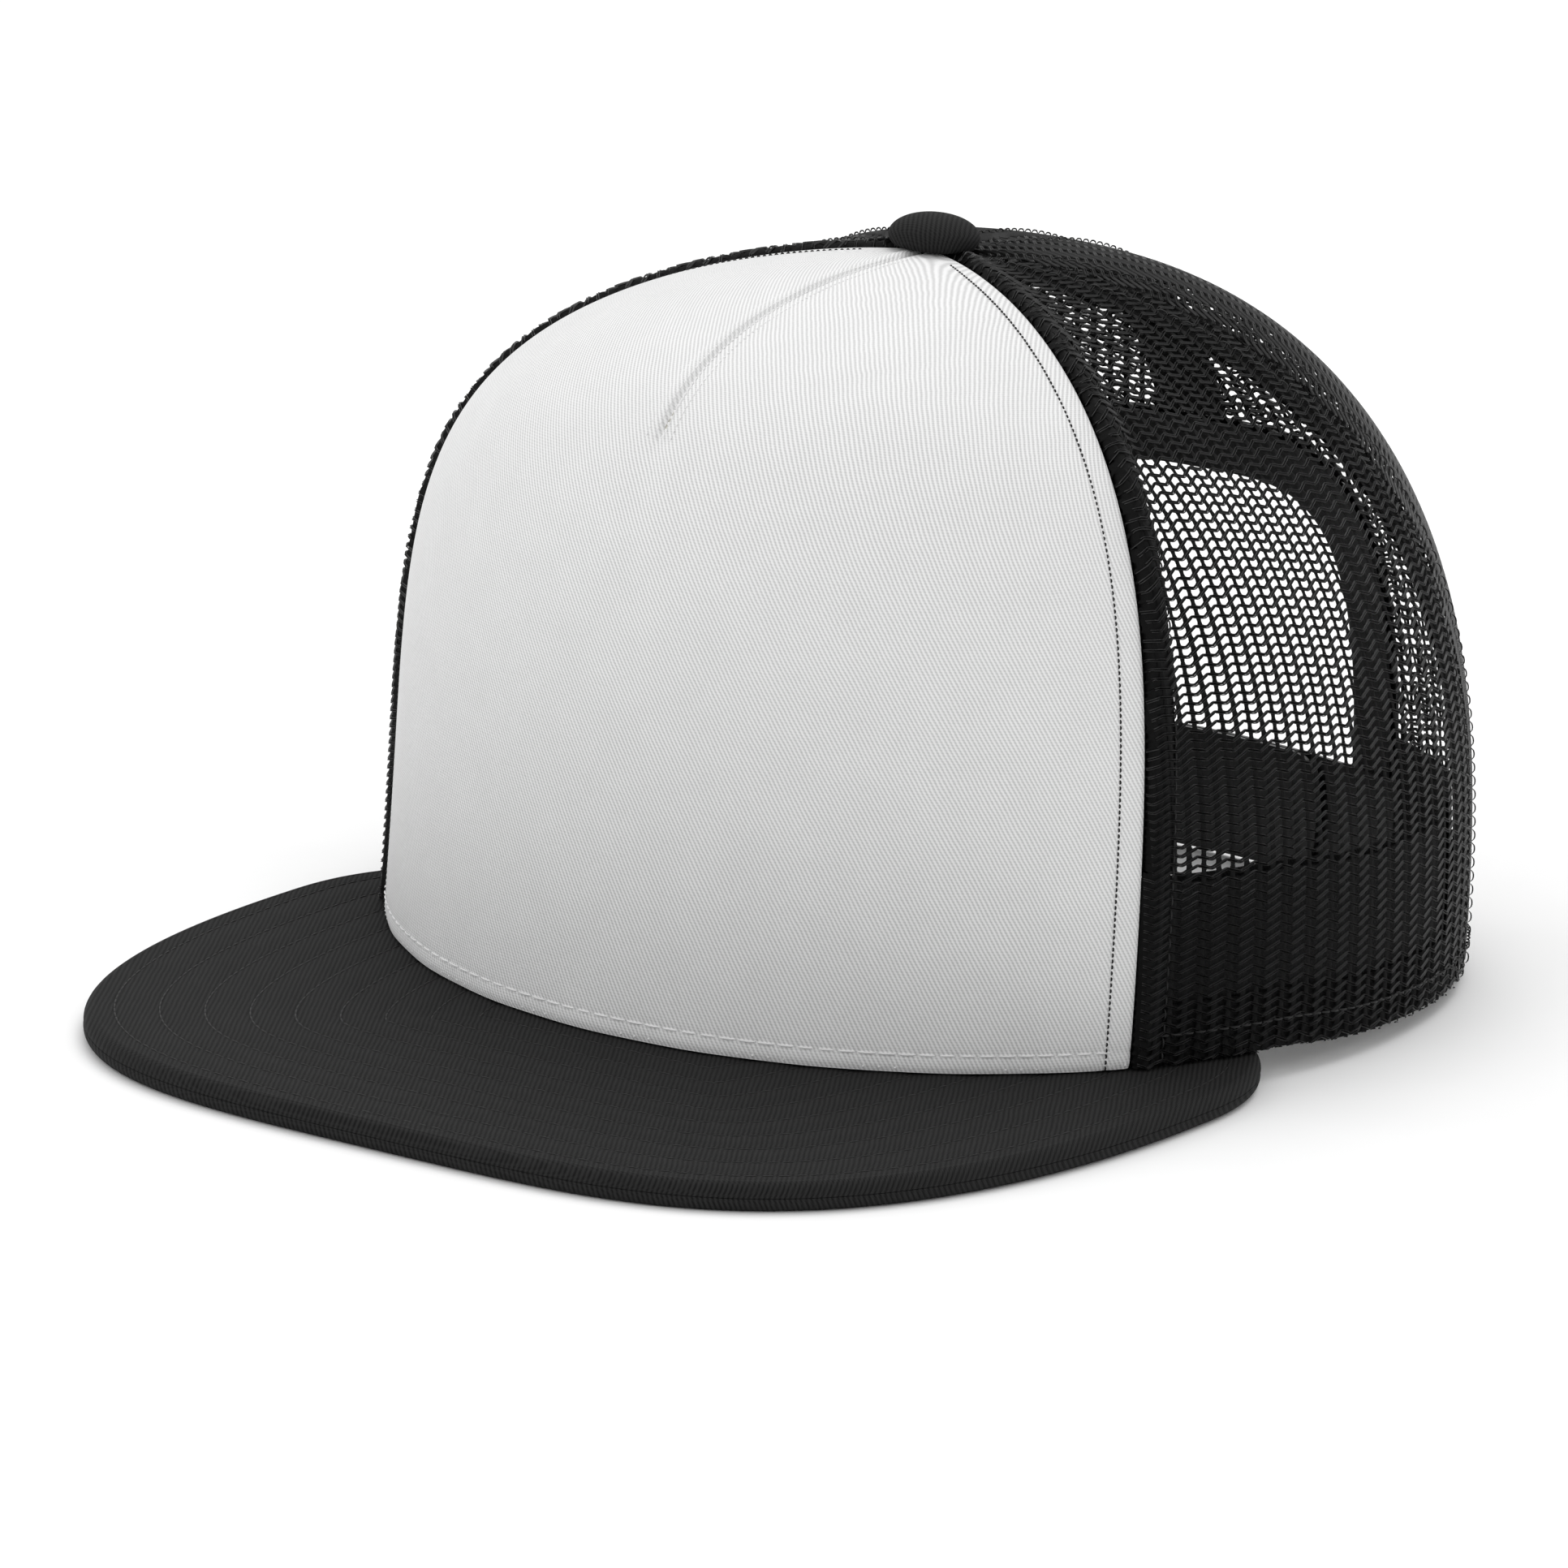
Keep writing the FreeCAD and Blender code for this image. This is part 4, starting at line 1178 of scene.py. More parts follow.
@dataclass(frozen=True)
class Knit:
    """Warp-knitted polyester mesh: hexagonal holes between rows of raised zigzag yarn pairs."""

    period: float = 6.0
    trough: float = 2.9
    pitch: float = 1.7
    swing: float = 1.1
    strut: float = 0.95
    bar: float = 0.33
    face_depth: float = 0.3
    thickness: float = 0.38
    yarn_gap: float = 0.2
    yarn_width: float = 0.18
    yarn_height: float = 0.24
    hole_lift: float = 0.12
    hole_roundness: float = 0.55
    crinkle: float = 0.22
    # Gathers above the rim: their height, and how fast they wave across, sway and upward.
    gather_height: float = 4.0
    gather_turns: tuple[float, float, float] = (1.9, 1.3, 1.1)
    seam_puff: float = 1.4
    shoulder_puff: Hump = Hump(1.0, 0.45, 0.17)
    # The fold beside the front seam: how far it rises, stays flat and falls.
    fold_reach: tuple[float, float, float] = (1.2, 2.0, 3.5)
    wall_length: float = 140.0
    first_row: int = -4
    places_per_mm: float = 1000.0

    def zigzag(self, u: Array) -> Array:
        """Height of the zigzag row at a place across the cloth."""
        at = np.mod(u, self.period)
        rest = self.period - self.trough
        fall = at / self.trough
        climb = (at - self.trough) / rest
        return -self.swing * np.where(at < self.trough, fall, 1 - climb)

    def columns(self) -> Array:
        """Places of the peak, the falling middle, the trough and the rising middle."""
        rest = self.period - self.trough
        return np.array([0.0, self.trough / 2, self.trough, self.trough + rest / 2])

    def repeats(self, width: float, top: float) -> tuple[Array, Array]:
        """Where the periods start across twice a width, and the rows up to the top."""
        count = math.ceil(width / self.period)
        rows = np.arange(self.first_row, math.ceil(top / self.pitch))
        return np.arange(-count, count) * self.period, rows * self.pitch

    def net(self, cloth: FabricMap, cut: PanelCut, width: float, top: float) -> Patch:
        """The flat net with its holes, front and back.

        Args:
            cloth: lays the net on the crown.
            cut: the outline it is cut to.
            width: half of the width to fill.
            top: the highest place to fill.

        Returns:
            A closed patch in the row's frame.
        """
        col = self.columns()
        lows = self.zigzag(col)
        corners, holes = [], []
        for k, first in ((0, -1), (2, 1)):
            before = col[first] - (self.period if first < 0 else 0)
            after, mid = col[(k + 1) % 4], col[k]
            outline = np.array(
                [
                    (before, lows[first]), (mid, lows[k]), (after, lows[k + 1]),
                    (after, lows[k + 1] + self.pitch), (mid, lows[k] + self.pitch),
                    (before, lows[first] + self.pitch),
                ]
            )
            halfway = (outline + np.roll(outline, -1, 0)) / 2
            ring = np.stack([outline, halfway], 1).reshape(-1, 2)
            rise = (lows[k] + lows[k + 1]) / 2 + self.pitch / 2 + self.hole_lift
            middle = np.array([mid, rise])
            spread = ring - middle
            round_to = np.array([(after - before - self.strut) / 2, (self.pitch - self.bar) / 2])
            turn = np.arctan2(spread[:, 1] / round_to[1], spread[:, 0] / round_to[0])
            oval = middle + np.stack([np.cos(turn), np.sin(turn)], -1) * round_to
            inset = middle + spread * round_to / np.array([(after - before) / 2, self.pitch / 2])
            corners.append(ring)
            holes.append(self.hole_roundness * oval + (1 - self.hole_roundness) * inset)
        starts = np.meshgrid(*self.repeats(width, top), indexing="ij")
        shift = np.stack(starts, -1).reshape(-1, 1, 2)
        cells = np.concatenate([corner[None] + shift for corner in corners])
        inner = np.concatenate([hole[None] + shift for hole in holes])
        key = np.round(cells.reshape(-1, 2) * self.places_per_mm).astype(np.int64)
        unique, index = np.unique(key, axis=0, return_inverse=True)
        index = index.reshape(-1)
        frame_places = unique / self.places_per_mm
        count, sides = len(cells), cells.shape[1]
        ring = index.reshape(count, sides)
        azimuth, climb = cloth.locate(frame_places[:, 0], frame_places[:, 1])
        azimuth, climb, outside = cut.trim(azimuth, climb)
        hole_azimuth, hole_climb = cloth.locate(inner[..., 0].ravel(), inner[..., 1].ravel())
        hole_azimuth, hole_climb, _ = cut.trim(hole_azimuth, hole_climb)
        base, normal = FORM.surface(azimuth, climb), FORM.inward(azimuth, climb)
        ripple = self.ripple(frame_places, climb, azimuth)
        depth = self.face_depth
        rounded = np.where(outside, self.thickness / 2, 0.0)
        front = base + normal * (depth + rounded + ripple)[:, None]
        back = base + normal * (depth + self.thickness - rounded + ripple * 0.5)[:, None]
        flat_inner = inner.reshape(-1, 2)
        lip = self.ripple(flat_inner, hole_climb, hole_azimuth)
        middle = FORM.point(hole_azimuth, hole_climb, depth + self.thickness * 0.5 + lip)
        total = len(front)
        back_index = np.where(outside, np.arange(total), np.arange(total) + total)
        hole_index = 2 * total + np.arange(count * sides).reshape(count, sides)
        after = np.roll(ring, -1, 1)
        kept = ~(outside[ring] & outside[after])
        a, b = ring[kept], after[kept]
        c, d = np.roll(hole_index, -1, 1)[kept], hole_index[kept]
        front_faces = np.stack([a, b, c, d], -1)
        back_faces = np.stack([d, c, back_index[b], back_index[a]], -1)
        points = np.concatenate([front, back, middle])
        weave = np.concatenate([frame_places, frame_places, flat_inner])
        faces = [np.concatenate([front_faces, back_faces])]
        return compacted(points, faces, weave).moved(FORM.placed)

    def ripple(self, places: Array, climb: Array, azimuth: Array) -> Array:
        """Depth of the gathers above the rim and of the fold that stands beside the front seam."""
        height = np.maximum(climb - FORM.above_rim(0.0)(azimuth), 0) * self.wall_length
        gathered = bell(height, self.gather_height)
        across, sway, upward = self.gather_turns
        wave = np.sin(places[:, 0] * across + sway * np.sin(places[:, 1] * upward))
        seam = FORM.front_seam_at(climb)
        beside = np.radians(np.abs(azimuth) - seam) * FORM.reach_at(azimuth, climb)
        steep, flat, fall = self.fold_reach
        rise = np.clip(beside / steep, 0, 1) * bell(np.maximum(beside - flat, 0), fall)
        stand = self.seam_puff + self.shoulder_puff.at(climb)
        return self.crinkle * gathered * (0.6 + wave) - stand * rise

    def yarns(self, cloth: FabricMap, cut: PanelCut, width: float, top: float) -> Patch:
        """The raised yarn pairs along every row.

        Args:
            cloth: lays the net on the crown.
            cut: the outline it is cut to.
            width: half of the width to fill.
            top: the highest place to fill.

        Returns:
            A patch of closed strands in the row's frame.
        """
        marks = np.array([0.0, 0.14, 0.5, 0.86]) * self.trough
        rest = self.period - self.trough
        marks = np.concatenate([marks, self.trough + np.array([0.0, 0.1, 0.5, 0.9]) * rest])
        periods, rows = self.repeats(width, top)
        u = (periods[:, None] + marks[None, :]).ravel()
        patches = []
        bend = np.where(np.isin(np.arange(len(u)) % 8, (0, 4)), 0.06, 0.0)
        for offset in (-self.yarn_gap, self.yarn_gap):
            v = rows[:, None] + (self.zigzag(u) + offset * 0.95 - bend * np.sign(offset))[None, :]
            across = np.broadcast_to(u, v.shape)
            azimuth, climb = cloth.locate(across, v)
            azimuth, climb, outside = cut.trim(azimuth, climb)
            base, normal = FORM.surface(azimuth, climb), FORM.inward(azimuth, climb)
            ahead = np.gradient(base, axis=1)
            length = np.linalg.norm(ahead, axis=-1, keepdims=True)
            ahead = ahead / np.maximum(length, 1e-6)
            aside = np.cross(normal, ahead)
            gather = self.ripple(
                np.stack([across.ravel(), v.ravel()], -1), climb.ravel(), azimuth.ravel()
            ).reshape(v.shape)
            ring = []
            half = self.yarn_width / 2
            for out, raised in ((-1.0, -0.4), (-0.6, 0.72), (0.0, 1.0), (0.6, 0.72), (1.0, -0.4)):
                depth = self.face_depth - raised * self.yarn_height + gather
                ring.append(base + aside * out * half + normal * depth[..., None])
            grid = np.stack(ring, 2)
            number = np.arange(grid.shape[0] * grid.shape[1] * 5).reshape(grid.shape[:3])
            a, b = number[:, :-1], number[:, 1:]
            tube = np.stack([a, np.roll(a, -1, 2), np.roll(b, -1, 2), b], -1)
            both = ~outside[:, :-1] & ~outside[:, 1:]
            opens = np.concatenate([both[:, :1], both[:, 1:] & ~both[:, :-1]], 1)
            shuts = np.concatenate([both[:, :-1] & ~both[:, 1:], both[:, -1:]], 1)
            caps = np.concatenate([a[opens][:, ::-1], b[shuts]])
            faces = [tube[both].reshape(-1, 4), caps]
            points = FORM.placed(grid.reshape(-1, 3))
            patches.append(compacted(points, faces, points[:, :2]))
        return Patch.joined(patches)


@dataclass
class MeshPanels:
    """The four knitted panels, their turned-up hems and their stitching."""

    knit: Knit = field(default_factory=Knit)
    hem_height: float = 10.0
    hem_depth: float = 1.02
    hem_thickness: float = 0.6
    hem_end: float = 149.0
    stitch_inset: float = 5.6
    seam_gap: float = 0.1
    seam_stitch_inset: float = 5.4
    middles: tuple[float, float] = (88.0, 150.0)
    half_width: float = 66.0
    top: float = 200.0
    fold_width: float = 5.2

    def cut_of(self, side: Side, back: bool) -> PanelCut:
        """The outline of a side panel or of a back panel."""
        sign = side.value
        seam, side_seam = FORM.front_seam_at, meridian(FORM.side_seam)
        first, last = (side_seam, meridian(180.0)) if back else (seam, side_seam)
        left, right = side.in_order(
            FORM.shifted(first, sign, self.seam_gap), FORM.shifted(last, sign, -self.seam_gap)
        )
        return PanelCut(left, right, FORM.above_rim(0.0), FORM.to_pole(FORM.pole_hole), arch=back)

    def build_panel(self, wardrobe: Wardrobe, side: Side, back: bool) -> None:
        """One mesh panel with its raised yarns.

        Args:
            wardrobe: the finishes.
            side: the side of the cap.
            back: whether it is a back panel.
        """
        cloth = FabricMap(side.value * self.middles[back])
        cut = self.cut_of(side, back)
        place = "back" if back else "side"
        name = f"{place}_mesh_{side.label}"
        net = self.knit.net(cloth, cut, self.half_width, self.top)
        if not back:
            net = Patch.joined([net, self.folded_edge(side)])
        made = crown_piece(f"{name}_net", net, wardrobe.knit, Slot.MESH, name, sharp=70)
        strands = self.knit.yarns(cloth, cut, self.half_width, self.top)
        yarn = crown_piece(f"{name}_yarns", strands, wardrobe.ridge, Slot.MESH, sharp=80)

    def folded_edge(self, side: Side) -> Patch:
        """The edge of a side panel, folded under itself beside the front seam.

        Args:
            side: the side of the cap.

        Returns:
            A closed patch in the row's frame.
        """
        near = FORM.shifted(FORM.front_seam_at, side.value, 0.5)
        far = FORM.shifted(FORM.front_seam_at, side.value, self.fold_width, 14.0)
        left, right = side.in_order(near, far)
        azimuth, climb = FORM.grid(
            left, right, FORM.above_rim(0.6), FORM.to_pole(FORM.pole_hole + 2.0),
            even(15), even(220),
        )
        place = FORM.flat_lengths(azimuth, climb)
        lift = self.knit.ripple(place.reshape(-1, 2), climb.ravel(), azimuth.ravel())
        ribs = 0.07 * np.sin(place[..., 1] * 2 * math.pi / self.knit.pitch)
        depth = self.knit.face_depth + self.knit.thickness * 0.7
        return FORM.layer(azimuth, climb, depth, 0.4, lift.reshape(azimuth.shape) + ribs)

    def build_hem(self, wardrobe: Wardrobe, side: Side) -> None:
        """The lower edge of the mesh, turned up inside and sewn down."""
        near = FORM.shifted(FORM.front_seam_at, side.value, 0.4)
        left, right = side.in_order(near, meridian(side.value * self.hem_end))
        azimuth, climb = FORM.grid(
            left, right, FORM.above_rim(0.0), FORM.above_rim(self.hem_height), even(160), even(9)
        )
        place = FORM.flat_lengths(azimuth, climb)
        wave = 0.12 * np.sin(place[..., 0] * 1.3) * np.sin(place[..., 1] * 0.6)
        depth, thick = self.hem_depth + 0.1, self.hem_thickness - 0.1
        patch = FORM.layer(azimuth, climb, depth, thick, wave * 0.4)
        name = f"mesh_hem_{side.label}"
        made = crown_piece(f"{name}_turned", patch, wardrobe.tape, Slot.MESH, name)

    def build_stitches(self, wardrobe: Wardrobe) -> None:
        """Black topstitching beside the seams and above the rim."""
        climbs = np.linspace(0.004, STITCH_TOP, 500)
        seam = StitchRow(pitch=2.4, length=2.0, width=0.34, rise=0.42)
        patches = []
        for side in Side:
            line = FORM.shifted(FORM.front_seam_at, side.value, self.stitch_inset, 14.0)
            patches.append(seam.on_crown(line(climbs), climbs, -0.1))
            for inset in (-self.seam_stitch_inset, self.seam_stitch_inset):
                line = FORM.shifted(meridian(FORM.side_seam), side.value, inset, 14.0)
                patches.append(seam.on_crown(line(climbs), climbs, -0.1))
            rim = side.value * np.linspace(55.5, 154.0, 600)
            patches.append(seam.on_crown(rim, FORM.above_rim(5.2)(rim), -0.1))
        high = np.linspace(float(FORM.climb_at(180.0, ARCH_CLEAR)), STITCH_TOP, 200)
        for sign in (-1, 1):
            line = FORM.shifted(meridian(180.0), 1, sign * self.seam_stitch_inset, 14.0)
            patches.append(seam.on_crown(line(high), high, -0.1))
        crown_piece("mesh_topstitching", Patch.joined(patches), wardrobe.black_thread, Slot.MESH)

    def build(self, wardrobe: Wardrobe) -> None:
        """Build every mesh piece."""
        for side in Side:
            for back in (False, True):
                self.build_panel(wardrobe, side, back)
            self.build_hem(wardrobe, side)
        self.build_stitches(wardrobe)


# ---- Arch binding, tapes and sweatband ----


@dataclass
class ArchBinding:
    """A tape folded over the arch's cut edge and sewn through."""

    half_width: float = ARCH_HALF_WIDTH
    height: float = ARCH_HEIGHT
    width: float = 9.0
    thickness: float = 0.55
    gap: float = 0.12
    mesh_thickness: float = 0.9
    row_insets: tuple[float, float] = (1.6, 7.6)
    sewn_in: Hump = Hump(0.1, 1.6, 0.5)

    def line(self, grow: float, stations: Array) -> tuple[Array, Array]:
        """A line that follows the arch, grown outward by a margin."""
        turn = stations * math.pi
        x = np.sign(np.cos(turn)) * np.abs(np.cos(turn)) ** 0.5 * (self.half_width + grow)
        z = np.sin(turn) ** 0.5 * (self.height + grow)
        return FORM.behind(x, np.maximum(z, 0.05))

    def build(self, wardrobe: Wardrobe) -> None:
        """Build the binding and its two rows of stitches."""
        share = even(241)
        stations = share - 0.055 * np.sin(4 * math.pi * share)
        gap, cloth, mesh = self.gap, self.thickness, self.mesh_thickness
        over, under = -(gap + cloth), mesh + gap + cloth
        fold = [
            (-gap - cloth * math.sin(a), mesh / 2 - (mesh / 2 + gap + cloth) * math.cos(a))
            for a in np.linspace(0, math.pi, 9)
        ]
        lining = [
            (0.0 - gap * math.sin(a), mesh / 2 + (mesh / 2 + gap) * math.cos(a))
            for a in np.linspace(0, math.pi, 5)
        ]
        wide = np.linspace(self.width, 0.6, 9)
        profile = [(g, over + self.sewn_in.at(g)) for g in wide]
        profile += fold + [(g, under) for g in wide[::-1]]
        profile += [(g, mesh + gap) for g in wide] + lining + [(g, -gap) for g in wide[::-1]]
        rows, weave = [], []
        for grow, depth in profile:
            azimuth, climb = self.line(grow, stations)
            rows.append(FORM.placed(FORM.point(azimuth, climb, depth)))
            weave.append(np.stack([share * 190.0, np.full_like(share, grow + depth * 3)], -1))
        patch = ring_sweep(np.array(rows), np.array(weave))
        tape = crown_piece(
            "arch_binding_tape", patch, wardrobe.binding, Slot.BINDING, "arch_binding", sharp=60
        )
        row = StitchRow(pitch=2.3, length=1.95, width=0.34, rise=0.22)
        threads = []
        for grow in self.row_insets:
            azimuth, climb = self.line(grow, stations)
            threads.append(row.on_crown(azimuth, climb, over))
        made = crown_piece(
            "arch_binding_stitches", Patch.joined(threads), wardrobe.black_thread, Slot.BINDING
        )


@dataclass
class Tapes:
    """Woven tapes over the seams inside the crown."""

    width: float = 14.0
    thickness: float = 0.5
    depth: float = 1.74
    fan: float = 0.45

    def strip(
        self, wardrobe: Wardrobe, name: str, node: str, seam: Edge, sign: int, foot: Edge,
    ) -> None:
        """One tape along a seam.

        Args:
            wardrobe: the finishes.
            name: the piece's name.
            node: the node that it stands for.
            seam: azimuth of the seam on the left.
            sign: side of the cap.
            foot: lower end of the tape.
        """
        half = self.width / 2
        sides = [FORM.shifted(seam, sign, sign * step * half, half / self.fan) for step in (-1, 1)]
        azimuth, climb = FORM.grid(
            sides[0], sides[1], foot, FORM.to_pole(FORM.pole_hole + 0.3), even(13), even(81)
        )
        share = np.linspace(-1, 1, 13)[:, None]
        relief = 0.1 * bell(np.abs(share) - 0.8, 0.1) + 0.0 * azimuth
        patch = FORM.layer(azimuth, climb, self.depth, self.thickness, relief)
        made = crown_piece(name, patch, wardrobe.tape, Slot.TAPE, node)
        climbs = np.linspace(float(climb[6, 2]), STITCH_TOP, 200)
        row = StitchRow(pitch=2.4, length=2.0, width=0.34, rise=0.2)
        threads = []
        for step in (-0.8, 0.8):
            line = FORM.shifted(seam, sign, step * half, half / self.fan)
            threads.append(row.on_crown(line(climbs), climbs, self.depth + self.thickness))
        stitches = crown_piece(
            f"{name}_stitches", Patch.joined(threads), wardrobe.black_thread, Slot.TAPE
        )

    def build(self, wardrobe: Wardrobe) -> None:
        """Build all six tapes."""
        for side in Side:
            self.strip(
                wardrobe, f"front_seam_tape_{side.label}", f"seam_tape_front_{side.label}",
                FORM.front_seam_at, side.value, FORM.above_rim(32.0),
            )
            self.strip(
                wardrobe, f"side_seam_tape_{side.label}", f"seam_tape_side_{side.label}",
                meridian(FORM.side_seam), side.value, FORM.above_rim(10.3),
            )
        self.strip(
            wardrobe, "back_seam_tape", "seam_tape_back",
            meridian(180.0), 1, FORM.above_rim(ARCH_CLEAR),
        )
        self.strip(
            wardrobe, "dart_tape", "front_dart_tape",
            meridian(0.0), 1, FORM.above_rim(95.3),
        )


@dataclass
class Sweatband:
    """A cotton band turned up inside the rim over a strip of foam."""

    height: float = 31.0
    end: float = 150.0
    foam_end: float = 112.0
    depth: float = 3.62
    thickness: float = 0.6
    foam_depth: float = 2.5
    foam_thickness: float = 1.0
    foam_margin: float = 1.2
    row_heights: tuple[float, float] = (3.5, 28.5)
    sewn_in: Hump = Hump(-0.25, 3.5, 0.8)

    def build(self, wardrobe: Wardrobe) -> None:
        """Build the band, its stitches and its foam."""
        azimuth, climb = FORM.grid(
            meridian(-self.end), meridian(self.end), FORM.above_rim(0.0),
            FORM.above_rim(self.height), even(281),
            packed(33, [(0.0, 0.06), (1.0, 0.06), (0.12, 0.04)], 3.0),
        )
        place = FORM.flat_lengths(azimuth, climb)
        up = place[..., 1]
        sag = 0.12 * np.sin(place[..., 0] * 0.31) * np.sin(up * 0.2)
        sewn = self.sewn_in.at(up)
        patch = FORM.layer(azimuth, climb, self.depth, self.thickness, sag * 0.6 + sewn * 0.4)
        band = crown_piece("sweatband_twill", patch, wardrobe.band, Slot.SWEATBAND, "sweatband")
        row = StitchRow(pitch=2.8, length=2.3, width=0.36, rise=0.25)
        line = np.linspace(-self.end + 1, self.end - 1, 900)
        inner = self.depth + self.thickness
        threads = [row.on_crown(line, FORM.above_rim(h)(line), inner) for h in self.row_heights]
        made = crown_piece(
            "sweatband_stitches", Patch.joined(threads), wardrobe.black_thread, Slot.SWEATBAND
        )
        azimuth, climb = FORM.grid(
            meridian(-self.foam_end), meridian(self.foam_end), FORM.above_rim(self.foam_margin),
            FORM.above_rim(self.height - self.foam_margin), even(141), even(17),
        )
        patch = FORM.layer(azimuth, climb, self.foam_depth, self.foam_thickness)
        foam = crown_piece(
            "sweatband_foam_strip", patch, wardrobe.foam, Slot.FOAM, "sweatband_foam"
        )


# ---- Visor ----


@dataclass
class Visor:
    """A flat board between two twill covers, with rows of stitching that follow its edge."""

    half_width: float = 91.8
    reach: float = 165.2
    widest_at: float = 57.1
    side_power: float = 3.7
    front_power: float = 2.28
    back_curve: float = 49.8
    thickness: float = 4.8
    edge_round: float = 1.9
    inset: float = 1.3
    inner_half: tuple[float, float] = (83.8, 91.8)
    rows: tuple[float, ...] = (5.0, 12.4, 19.8, 27.2, 34.6, 42.0, 49.4, 56.8, 64.2)
    row_pitch: float = 7.4
    groove_depth: float = 0.09
    groove_width: float = 0.45
    pillow: float = 0.05
    pillow_from: float = 3.0
    cloth_gap: float = 0.05
    seam_allowance: float = 1.6
    thread_sink: float = 0.12
    crown_clearance: tuple[float, float] = (86.5, 94.5)

    def edge(self, turn: Array, inset: Array | float = 0.0) -> Array:
        """Points of the outline about the crown's middle, moved in square to the edge."""

        def at(angle: Array) -> Array:
            """The outline itself."""
            side, front = np.cos(angle), np.sin(angle)
            x = np.sign(side) * np.abs(side) ** (2 / self.side_power) * self.half_width
            depth = np.where(front < 0, -self.back_curve, self.reach - self.widest_at)
            y = -self.widest_at - depth * np.abs(front) ** (2 / self.front_power)
            return np.stack([x, y], -1)

        step = 0.004
        along = unit(at(turn + step) - at(turn - step))
        inset = np.asarray(inset, float)[..., None]
        return at(turn) + np.stack([along[..., 1], -along[..., 0]], -1) * np.abs(inset)

    def tip(self) -> float:
        """The angle where the outline runs in under the crown."""
        low, high = -math.pi / 2 + 0.05, 0.0
        for _ in range(40):
            middle = (low + high) / 2
            x, y = self.edge(np.array(middle))
            a, b = self.inner_half
            if (x / a) ** 2 + (y / b) ** 2 < 1:
                low = middle
            else:
                high = middle
        return high

    def build_cover(self, wardrobe: Wardrobe, top: bool) -> bpy.types.Object:
        """One cloth cover, from the crown over the rounded edge to the middle seam.

        Args:
            wardrobe: the finishes.
            top: whether it is the upper cover.

        Returns:
            The cover.
        """
        tip = self.tip()
        fine = np.linspace(tip, math.pi - tip, 2001)
        line = self.edge(fine)
        along = run_length(line)
        turn = np.interp(np.linspace(0, along[-1], 281), along, fine)
        rim, a, b = self.edge(turn), *self.inner_half
        ends = [math.atan2(p[0] / a, -p[1] / b) for p in (rim[0], rim[-1])]
        around = np.linspace(ends[0], ends[1], len(turn))
        inner = np.stack([a * np.sin(around), -b * np.cos(around)], -1)
        steps = np.linspace(0, 1, 200)
        board = self.edge(turn, self.edge_round)
        face = inner[None] + (board - inner)[None] * steps[:, None, None]
        half = (self.thickness - 2 * self.cloth_gap) / 2
        rows = [np.concatenate([face, np.full(face.shape[:2] + (1,), half)], -1)]
        far = np.linalg.norm(face[:, :, None] - line[None, None, ::10], axis=-1).min(-1)
        groove = sum(bell(far - r, self.groove_width) for r in self.rows)
        pillow = self.pillow * np.cos((far - self.rows[0]) * 2 * math.pi / self.row_pitch)
        inner_part = pillow * (far > self.pillow_from)
        rows[0][..., 2] -= self.groove_depth * groove + self.cloth_gap + inner_part
        rows[0][-1, :, 2] = half
        for a_turn in np.linspace(0, math.pi / 2, 9)[1:]:
            out = self.edge_round * (1 - math.sin(a_turn))
            z = half - self.edge_round * (1 - math.cos(a_turn))
            rows.append(self.flat_row(turn, out, z))
        allowance = self.seam_allowance
        for inset, z in ((0.1, 0.0), (self.inset, 0.0), (self.inset, allowance)):
            rows.append(self.flat_row(turn, inset, z))
        under = inner + (board - inner) * 0.02
        rows.append(np.concatenate([under, np.full((len(turn), 1), allowance)], -1)[None])
        grid = np.concatenate(rows)
        weave = grid[..., :2].copy()
        weave[..., 1] -= np.abs(grid[..., 2]) * 0.7
        middle, gap = self.thickness / 2, self.cloth_gap
        grid[..., 2] = middle + gap + grid[..., 2] if top else middle - gap - grid[..., 2]
        grid[..., 1] += FORM.setback
        name, sweep = self.name_of(top), ring_sweep(grid, weave)
        return crown_piece(
            f"{name}_twill", sweep, wardrobe.visor, Slot.VISOR_TWILL, f"{name}_cloth", sharp=55
        )

    def name_of(self, top: bool) -> str:
        """The start of the names of a cover's pieces."""
        return "visor_top" if top else "visor_under"

    def flat_row(self, turn: Array, inset: float, z: float) -> Array:
        """One row of points at an inset and a height."""
        line = self.edge(turn, inset)
        return np.concatenate([line, np.full((len(turn), 1), z)], -1)[None]

    def build_stitches(self, wardrobe: Wardrobe, top: bool) -> bpy.types.Object:
        """The rows of thread that follow the edge, where they show outside the crown."""
        row = StitchRow(pitch=2.7, length=2.3, width=0.28, rise=0.08)
        patches = []
        turn = np.linspace(-0.4, math.pi + 0.4, 1600)
        z = self.thickness - self.thread_sink if top else self.thread_sink
        wide, long = self.crown_clearance
        for inset in self.rows:
            line = self.edge(turn, inset)
            shown = (line[:, 0] / wide) ** 2 + (line[:, 1] / long) ** 2 > 1
            shown &= (turn > self.tip() + 0.01) & (turn < math.pi - self.tip() - 0.01)
            clear = np.linalg.norm(line[:, None] - self.edge(turn)[None, ::8], axis=-1).min(-1)
            shown &= clear > inset - 0.35
            path = np.concatenate([line, np.full((len(turn), 1), z)], -1)
            path[:, 1] += FORM.setback
            marks = np.flatnonzero(np.diff(np.concatenate([[0], shown.astype(int), [0]])))
            for first, last in zip(marks[::2], marks[1::2]):
                if last - first > 8:
                    up = np.zeros((last - first, 3))
                    up[:, 2] = 1.0 if top else -1.0
                    patches.append(row.build(path[first:last], up))
        name, threads = f"{self.name_of(top)}_stitches", Patch.joined(patches)
        return crown_piece(name, threads, wardrobe.black_thread, Slot.VISOR_TWILL)

